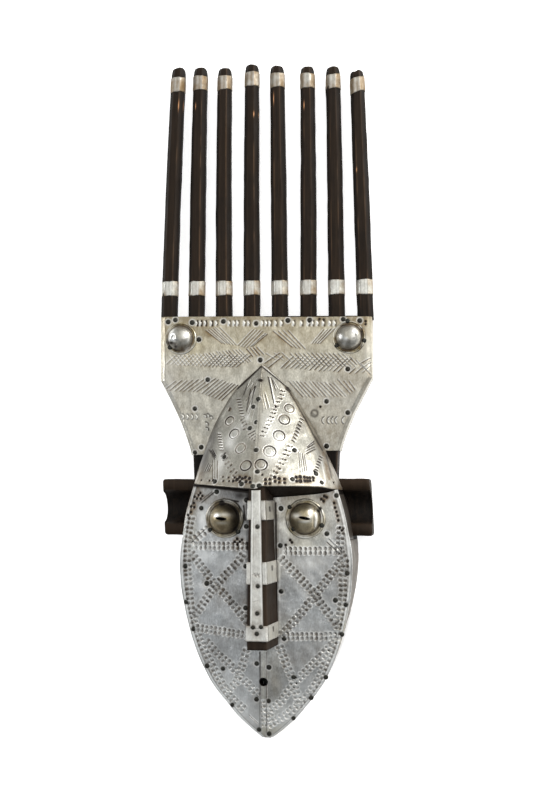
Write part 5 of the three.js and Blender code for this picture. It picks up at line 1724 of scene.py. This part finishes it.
CREST_BOSS_LOOKS = {
    "left": {
        "dents": [(-5, -5.5, 3.6, 2.2), (-5.5, 0.5, 2.4, 1.2), (4, 3, 3, 0.5)],
        "marks": {
            "shine": [
                (172.5, 333, 3.2, 4, 0.9), (172.5, 340, 3.4, 2.2, 1.0), (184.2, 335, 2.6, 3.4, 1.0),
                (188.5, 338, 2.6, 6, 0.5), (189.5, 349.5, 4.5, 3, 1.0), (181, 354.2, 6, 1.6, 0.9),
                (196, 331.5, 0.8, 6, 0.8), (168, 325.5, 4, 1.4, 0.5),
            ],
            "dirt": [
                (170.8, 342.8, 3.6, 1.8, 0.8), (176, 346.5, 2.2, 3.4, 0.7),
            ],
            "rust": [
                (183, 348.5, 7, 3.2, 0.8), (181, 326.5, 9, 2.4, 0.55), (193, 331, 2.2, 7, 0.9),
                (165.5, 331, 1.4, 6, 0.5),
            ],
        },
        "creases": [(176, 343, 168, 341.5, 1.0, 0.7), (176, 343, 175.5, 350, 1.0, 0.7)],
    },
    "right": {
        "dents": [(3, 2, 3, 0.4)],
        "marks": {
            "shine": [
                (353.8, 334, 3, 5.5, 1.0), (340.6, 336.5, 2.6, 2.2, 1.0), (346, 338.6, 2.2, 1.6, 0.7),
                (343.8, 345.3, 2.2, 2.4, 0.6), (347.5, 353.6, 7, 1.2, 0.9), (361.5, 345.4, 0.9, 2.6, 0.8),
            ],
            "dirt": [
                (355.8, 334.2, 0.9, 2.6, 0.6), (354, 338, 1.6, 0.8, 0.5), (343, 325.5, 4, 1.0, 0.5),
                (362, 331, 0.7, 7, 0.7), (365.6, 333, 0.7, 8, 0.6), (361.8, 349, 1.0, 3, 0.6),
            ],
            "rust": [
                (349, 324.6, 9, 1.8, 0.9), (363.6, 331, 2.6, 9, 1.0), (361, 347, 3.2, 3.6, 0.8),
                (349, 350, 6, 2, 0.5),
            ],
        },
        "creases": [(362, 326, 362.5, 340, 0.7, 0.35), (365, 327, 365.5, 341, 0.7, 0.35)],
    },
}


# Surfaces as the marks and tacks need them

def face_skin(x, y):
    return face_height(x, y) + SKIN


def board_skin(x, y):
    return board_height(x, y) + SKIN


def brow_skin(x, y):
    return brow_height(x, y, SKIN)


def nose_skin(_x, _y):
    return NOSE["front"] + 2 * SKIN


def spaced(path, pitch):
    """Spots at an even pitch along a path, with the heading at each."""
    path = np.array(path)
    steps = np.hypot(*np.diff(path, axis=0).T)
    run = np.concatenate([[0], np.cumsum(steps)])
    count = max(int(round(run[-1] / pitch)), 1)
    at = np.linspace(0, run[-1], count + 1)
    spots = np.stack([np.interp(at, run, path[:, k]) for k in (0, 1)], -1)
    headings = np.gradient(spots, axis=0)
    return list(zip(spots, headings / np.maximum(np.hypot(*headings.T)[:, None], 1e-6)))


def gouged_row(sheet, surface, pixels, pitch=4.5, apart=1.95, radius=1.8, dark=0.8, bright=1.0):
    """Row of twin thumbnail marks, side by side across the row."""
    path = [on_surface(*pixel, surface) for pixel in pixels]
    for spot, heading in spaced(path, pitch):
        side = np.array([-heading[1], heading[0]])
        for which in (-1, 1):
            at = spot + side * which * apart + sheet.random.normal(0, 0.16, 2)
            aim = heading + sheet.random.normal(0, 0.08, 2)
            size = radius * sheet.random.uniform(0.88, 1.1)
            depth = 0.55 * sheet.random.uniform(0.75, 1.15)
            # Marks are darker toward the brow and lighter toward the chin
            darkened = mix(0.6, 1, smooth((at[1] - 70) / 70)) * sheet.random.uniform(0.55, 1.2)
            sheet.gouge(at, aim, size, depth, dark * darkened, bright)


def hatch(sheet_of, surface, first, last, count, depth):
    """Parallel scratches from the first line to the last."""
    first, last = np.array(first), np.array(last)
    for number in range(count):
        share = number / max(count - 1, 1)
        line = mix(first, last, share)
        start, end = (on_surface(*pixel, surface) for pixel in line)
        sheet = sheet_of((start + end) / 2)
        start, end = (spot + sheet.random.normal(0, 0.25, 2) for spot in (start, end))
        pressed, dark = depth * sheet.random.uniform(0.7, 1.2), depth * sheet.random.uniform(0.6, 1.7)
        sheet.engrave(start, end, pressed, 0.42, dark)


def dashed_row(sheet_of, surface, pixels, pitch, length, depth=0.4):
    """Row of short cuts slanting across the row."""
    path = [on_surface(*pixel, surface) for pixel in pixels]
    for spot, heading in spaced(path, pitch):
        side = np.array([-heading[1], heading[0]])
        slant = unit(side + 0.35 * heading) * length / 2
        sheet = sheet_of(spot)
        sheet.engrave(spot - slant, spot + slant, depth * sheet.random.uniform(0.8, 1.2), 0.5, 0.5)


def on_flange(at):
    """Place and normal of a tack on a boss's flange, or None beside it."""
    beyond, lift = CREST_FLANGE_TACKS
    for boss_at in CREST_BOSSES.values():
        if math.dist(at, boss_at) < CREST_BOSS["flange"] + beyond:
            return np.array([*at, BOARD["thickness"] + 2 * GAP + 2 * SHEET + lift]), np.array([0, 0, 1.0])
    beyond, lift = EYE_FLANGE_TACKS
    for boss_at in EYES.values():
        if math.dist(at, boss_at) < EYE_BOSS["flange"] + beyond:
            normal = face_normal(*boss_at)
            rise = float(face_height(*boss_at)) - normal[:2] @ np.subtract(at, boss_at)
            return np.array([*at, rise + 2 * GAP + 2 * SHEET + lift]), unit(normal)
    return None


def tack_places(surface, pixels, sheet_of):
    places = []
    for pixel in pixels:
        at = on_surface(*pixel, surface)
        sheet = sheet_of(at)
        spot = sheet.spot(at)
        if spot is None:
            continue
        raised = on_flange(at)
        if raised is None:
            sheet.seat(at)
            places.append(spot)
        else:
            places.append(raised)
    return places


# The pieces

def make_crest():
    crest = Sheet(crest_points(), 11)
    crest.batter(100, 0.35, 0.12, 0.05)
    for group in BOARD_HATCHES:
        hatch(lambda spot: crest, board_skin, *group)
    for number, px in enumerate(BORDER_BARS):
        at = on_surface(px, BORDER_BAR_Y, board_skin)
        darkness = 1.0 if number < BORDER_DARK else 0.5
        crest.crescent(at, (1, 0), 2.6, 0.5, 0.5, 0.2, 0.5 * darkness)
        low, high = BORDER_BAR_Y - 2, BORDER_BAR_Y + 2
        # Each bar: painted highlight on its left, darkened on its right
        crest.smear("shine", (px - 1.2, low), (px - 1.2, high), 0.9, 0.9)
        crest.smear("dirt", (px + 1.2, low), (px + 1.2, high), 0.7, 0.45 * darkness)
        for rise in (-BORDER_BAR_HALF, BORDER_BAR_HALF):
            crest.pit(at + [0.7, rise], 0.8, 0.4, darkness * crest.random.uniform(0.6, 1))
    for pixel in BOARD_PITS:
        crest.pit(on_surface(*pixel, board_skin), 1.1, 0.6, 1.0)
    for px in LEFT_CRESCENTS:
        crest.crescent(on_surface(px, CRESCENT_Y["left"], board_skin), (1, 0.1))
    for px in RIGHT_CRESCENTS:
        at = on_surface(px, CRESCENT_Y["right"], board_skin)
        crest.crescent(at, (-1, 0.05), 3.8, 0.5, 0.45, 0.2, 0.45)
    for pixel in LOOSE_CRESCENTS:
        crest.crescent(on_surface(*pixel, board_skin), (0.7, 0.7), 2.2, 0.4, 0.5, 0.1, 0.5)
    crest.bulge(on_surface(*BOARD_DENT, board_skin), 3.2, 0.6, 0.4)
    from_top = board_top(crest.points[:, 0]) - crest.points[:, 1]
    crest.rust += 0.08 + 0.35 * bell(from_top, 7) + 0.1 * smooth((45 - from_top) / 30)
    crest.dirt += 0.06 * bell(from_top, 4)
    crest.warm += 0.22 * smooth((75 - from_top) / 70)
    crest.paint_all(BOARD_PATCHES)
    return crest


def make_brows():
    brows = {"left": Sheet(brow_points(True), 12), "right": Sheet(brow_points(False), 13)}
    for name, seed in (("left", 110), ("right", 120)):
        brows[name].batter(seed, 0.45, 0.14, 0.05)

    def brow_at(spot):
        return brows["left" if spot[0] < brow_ridge(spot[1]) - 3 else "right"]

    for group in BROW_HATCHES:
        hatch(brow_at, brow_skin, *group)
    for px, py, radius, dark in BROW_RINGS:
        at = on_surface(px, py, brow_skin)
        brow_at(at).ring(at, radius, 0.45, dark, 0.55 * radius if px > RINGS_DOUBLE_FROM else 0)
    for path, pitch, apart, radius, dark in BROW_ROWS:
        sheet = brow_at(on_surface(*path[0], brow_skin))
        gouged_row(sheet, brow_skin, path, pitch, apart, radius, 1.2 * dark, 0.45)
    for path, pitch, length in BROW_DASHES:
        dashed_row(brow_at, brow_skin, path, pitch, length)
    for name, holes in (("left", BROW_BOTTOM_LEFT), ("right", BROW_BOTTOM_RIGHT)):
        for px, py, radius in holes:
            brows[name].pit(on_surface(px, py, brow_skin), 1.15 * radius, 0.7, 1.0)
            # Each hole: stained round it, with a painted highlight beside it
            brows[name].paint("rust", (px, py), 1.8 * radius, 0.35)
            brows[name].paint("shine", (px - 1.9, py), 0.8, 0.6)
    for pixel in BROW_HOLES:
        at = on_surface(*pixel, brow_skin)
        brow_at(at).pit(at, 1.0, 0.7, 0.95)
    for line in BROW_CUTS:
        start, end = (on_surface(*pixel, brow_skin) for pixel in line)
        brow_at((start + end) / 2).engrave(start, end, 0.6, 0.8, 1.0)
    for name, sheet in brows.items():
        sheet.paint_all(BROW_PATCHES)
        sheet.smear_all(BROW_LINES[name])
        x, y, _ = sheet.points.T
        offset = x - brow_ridge(y)
        edge = np.abs(offset) / np.maximum(brow_half(y, offset < 0), 1)
        sheet.rust += 0.5 * smooth((edge - 0.93) / 0.05) + 0.25 * bell(offset, 3)
        sheet.dirt += 0.10 * smooth((edge - 0.95) / 0.04)
        from_lip = np.abs(y - brow_bottom(np.sign(offset) * np.minimum(edge, 1)))
        sheet.rust += 0.4 * bell(from_lip, 4)
    return brows, brow_at


def make_cheeks():
    cheeks = {"left": Sheet(cheek_points(True), 14), "right": Sheet(cheek_points(False), 15)}
    looks = {
        "left": (115, LEFT_FACE_ROWS, LEFT_FACE_DOTS, CHIN_LINE),
        "right": (125, RIGHT_FACE_ROWS, FACE_DOTS, RIGHT_FACE_LINES),
    }
    for name, (seed, rows, dots, lines) in looks.items():
        cheek = cheeks[name]
        cheek.batter(seed, 0.4, 0.14, 0.05)
        for row in rows:
            gouged_row(cheek, face_skin, row)
        for px, py in dots:
            cheek.pit(on_surface(px, py, face_skin), 1.15, 0.6, 1.0)
            # Each dot: stained round it, with a painted highlight beside it
            cheek.paint("rust", (px, py), 2.2, 0.5)
            cheek.paint("shine", (px - 2, py), 0.9, 0.5)
        hatch(lambda spot: cheek, face_skin, *lines)
        # Seams and painted shadow, each with a wider stain along it
        for *ends, width, amount in FACE_SEAMS_AND_SHADOWS[name]:
            cheek.smear("dirt", ends[:2], ends[2:], width, amount)
            cheek.smear("rust", ends[:2], ends[2:], 2.5 * width, 0.4 * amount)
        cheek.paint_all(CHEEK_PATCHES[name])
        inset = face_half(cheek.points[:, 1]) - np.abs(cheek.points[:, 0] - FACE_CENTRE)
        # Painted highlight along the rolled rim, a darker line just inside it, and a stain further in
        cheek.shine += 0.9 * bell(inset - 0.6, 0.9)
        cheek.dirt += 0.3 * bell(inset - 2.3, 0.6)
        cheek.rust += 0.3 * bell(inset - 3, 3)
    return cheeks


def make_side(name, sign, place, low, high, foot):
    side = Sheet(side_points(sign, low, high, foot), 20)
    _, y, z = side.points.T
    side.relief += 0.25 * noise(z, y, 9, 130 + sign) + 0.1 * noise(z, y, 3, 132 + sign)
    # The upper side sheets are darkened more than the lower ones
    side.dirt += SIDE_SHEET["darkening"][place]
    side.stand(f"side_sheet_{name}_{place}", "side_metal", SIDE_METAL, 0.5)


def make_sides():
    seam = SIDE_SHEET["seam"]
    for name, sign in (("left", -1), ("right", 1)):
        make_side(name, sign, "lower", SIDE_SHEET["chin"], seam - SIDE_SHEET["gap"], SIDE_SHEET["foot"])
        make_side(name, sign, "upper", seam, SIDE_SHEET["top"], EAR["front"] + SIDE_SHEET["above_ear"])


def make_strip():
    """Long strip down the nose's front."""
    rows, columns = 180, 20
    y = np.linspace(NOSE_STRIP["from"], NOSE_STRIP["to"], rows)[:, None]
    t = (y - NOSE_STRIP["from"]) / (NOSE_STRIP["to"] - NOSE_STRIP["from"])
    left, right = (mix(NOSE_STRIP["low"][k], NOSE_STRIP["high"][k], t) for k in (0, 1))
    x = mix(left, right, np.linspace(0, 1, columns)[None, :])
    strip = Sheet(grid_of(x, y, nose_skin(0, 0)), 16)
    strip.batter(150, 0.25, 0.1, 0.04)
    inset = np.minimum(x - left, right - x).ravel()
    # Darker at the strip's edges; painted highlight over it, brightest just inside its edges
    strip.dirt += 0.5 * bell(inset, 0.4)
    strip.shine += 0.3 + 0.6 * bell(inset - 1.1, 0.5)
    for group in STRIP_SCRATCHES:
        hatch(lambda spot: strip, nose_skin, *group)
    return strip


def add_skins():
    """Every metal sheet, and the places and normals of the tacks driven into them."""
    crest, (brows, brow_at), cheeks = make_crest(), make_brows(), make_cheeks()

    def cheek_at(spot):
        return cheeks["left" if spot[0] < 0 else "right"]

    places = {
        "crest_tacks": tack_places(board_skin, BOARD_TACKS, lambda at: crest),
        "brow_tacks": tack_places(brow_skin, BROW_TACKS, brow_at),
        "face_tacks": tack_places(face_skin, FACE_TACKS, cheek_at),
    }
    crest.stand("crest_sheet", "sheet_metal", BOARD_METAL, 0.6, under_hood)
    for name in ("left", "right"):
        brows[name].stand(f"brow_sheet_{name}", "sheet_metal", BROW_METAL, 0.9)
        cheeks[name].stand(f"cheek_sheet_{name}", "sheet_metal", FACE_METAL, 0.9, eye_hole)
    make_sides()
    bands = {name: nose_band(*span) for name, span in NOSE_BANDS.items()}
    strip = make_strip()
    strip_from = NOSE_STRIP["from"] + 0.5
    places["nose_tacks"] = tack_places(
        nose_skin, NOSE_TACKS, lambda at: strip if at[1] > strip_from else bands["lower"])
    for name, band in bands.items():
        band.stand(f"nose_band_{name}", "band_metal", BAND_METAL, 0.5)
    strip.stand("nose_strip", "band_metal", BAND_METAL, 0.7)
    return places


def add_bosses():
    for side, (x, y) in EYES.items():
        node, looks, seed = f"eye_boss_{side}", EYE_BOSS_LOOKS[side], 160 + int(x)
        at = (x, y, float(face_height(x, y)) + GAP + SHEET + GAP + EYE_BOSS["lift"])
        boss(node, EYE_METAL, at, turned(face_normal(x, y)), EYE_BOSS, seed, looks)
    for side, (x, y) in CREST_BOSSES.items():
        node, looks, seed = f"crest_boss_{side}", CREST_BOSS_LOOKS[side], 170 + int(x)
        at = (x, y, BOARD["thickness"] + 2 * GAP + SHEET)
        boss(node, CREST_METAL, at, np.eye(3), CREST_BOSS, seed, looks)


# Floor, light and camera, in metres

FLOOR_SIZE, FLOOR_BELOW = 3.0, 0.0005
# Name, place, size, power and tint of each light
LIGHTS = [
    ("window", (1.40, 1.15, 0.75), (1.5, 0.8), 34, (1.0, 0.985, 0.95)),
    ("lamp", (-1.7, 0.2, 0.75), (0.35, 0.7), 9, (0.97, 0.98, 1.0)),
]
WORLD_BRIGHT_SIDE = (0.3, 0.85, 0.3)
# How far a direction points to the bright side, with the brightness and the tint there
WORLD_RAMP = [
    (-1.0, 0.20, (0.92, 0.96, 1.0)), (-0.05, 0.25, (0.92, 0.96, 1.0)), (0.12, 0.38, (0.96, 0.98, 1.0)),
    (0.36, 0.70, (1.0, 0.99, 0.96)), (0.6, 0.66, (1.0, 0.99, 0.95)), (1.0, 0.6, (1.0, 0.99, 0.95)),
]
WORLD_DIM = {"side": (-0.77, 0.6, 0.15), "from": (0.45, 0.9), "to": (1.0, 0.42)}
WORLD_PANELS = {"scale": 3.2, "edge": (0.42, 0.58), "strength": (0.35 * 1.8, 1.75 * 1.8)}


def place(point):
    return (np.asarray(point, float) + [0, CHIN_Y, 0]) * MM


def add_floor():
    corners = [(x * FLOOR_SIZE, y * FLOOR_SIZE, 0) for x, y in ((-1, -1), (1, -1), (1, 1), (-1, 1))]
    mesh = bpy.data.meshes.new("floor")
    mesh.from_pydata(corners, [], [(0, 1, 2, 3)])
    mesh.materials.append(plain_floor("pale_floor", FLOOR_TINT))
    made = bpy.data.objects.new("floor", mesh)
    made.location = (0, 0, -FLOOR_BELOW)
    bpy.context.scene.collection.objects.link(made)


def aim(made, at, target):
    made.location = at
    z = -unit(np.asarray(target, float) - np.asarray(at, float))
    x = unit(np.cross([0, 1, 0], z))
    axes = np.stack([x, np.cross(z, x), z], -1)
    made.rotation_euler = mathutils.Matrix(axes.tolist()).to_euler()


def soft_light(name, at, size, power, tint):
    light = bpy.data.lights.new(name, "AREA")
    light.shape = "RECTANGLE"
    light.size, light.size_y = size
    light.energy = power
    light.color = tint
    made = bpy.data.objects.new(name, light)
    aim(made, at, (0, 0, 0))
    bpy.context.scene.collection.objects.link(made)


def toward(nodes, side):
    """How far a direction points to one side, from -1 to 1."""
    side = unit(np.array(side)).tolist()
    return nodes.node("VectorMath", {0: nodes.place, 1: side}, "DOT_PRODUCT").outputs["Value"]


def add_world():
    """Pale studio, brightest above the comb's right-hand end and dim beyond the chin."""
    world = bpy.data.worlds.new("studio")
    world.use_nodes = True
    nodes = Nodes(world.node_tree, "Generated")
    ramp = nodes.node("ValToRGB", {"Fac": nodes.span(toward(nodes, WORLD_BRIGHT_SIDE), -1, 1)})
    while len(ramp.color_ramp.elements) < len(WORLD_RAMP):
        ramp.color_ramp.elements.new(0.5)
    for element, (at, bright, tint) in zip(ramp.color_ramp.elements, WORLD_RAMP):
        element.position = (at + 1) / 2
        element.color = (*[bright * part for part in tint], 1)
    panels = nodes.texture(nodes.place, WORLD_PANELS["scale"], 1.0, 0.5)
    panels = nodes.span(panels, *WORLD_PANELS["edge"], *WORLD_PANELS["strength"])
    dimmed = nodes.span(toward(nodes, WORLD_DIM["side"]), *WORLD_DIM["from"], *WORLD_DIM["to"])
    background = nodes.tree.nodes["Background"]
    nodes.fill(background, {"Color": ramp.outputs["Color"], "Strength": nodes.times(panels, dimmed)})
    bpy.context.scene.world = world


def add_camera():
    data = bpy.data.cameras.new("camera")
    data.lens, data.sensor_width = LENS, SENSOR
    data.clip_start, data.clip_end = 0.05, 20
    made = bpy.data.objects.new("camera", data)
    aim(made, place(CAMERA_AT), place(CAMERA_AIM))
    bpy.context.scene.collection.objects.link(made)
    bpy.context.scene.camera = made


carve_mask()
tack_spots = add_skins()
prong_bands()
add_bosses()
for name, places in tack_spots.items():
    tacks(name, places, TACK_RADII[name])
add_floor()
for light in LIGHTS:
    soft_light(*light)
add_world()
add_camera()
bpy.context.scene.view_settings.view_transform = "Standard"
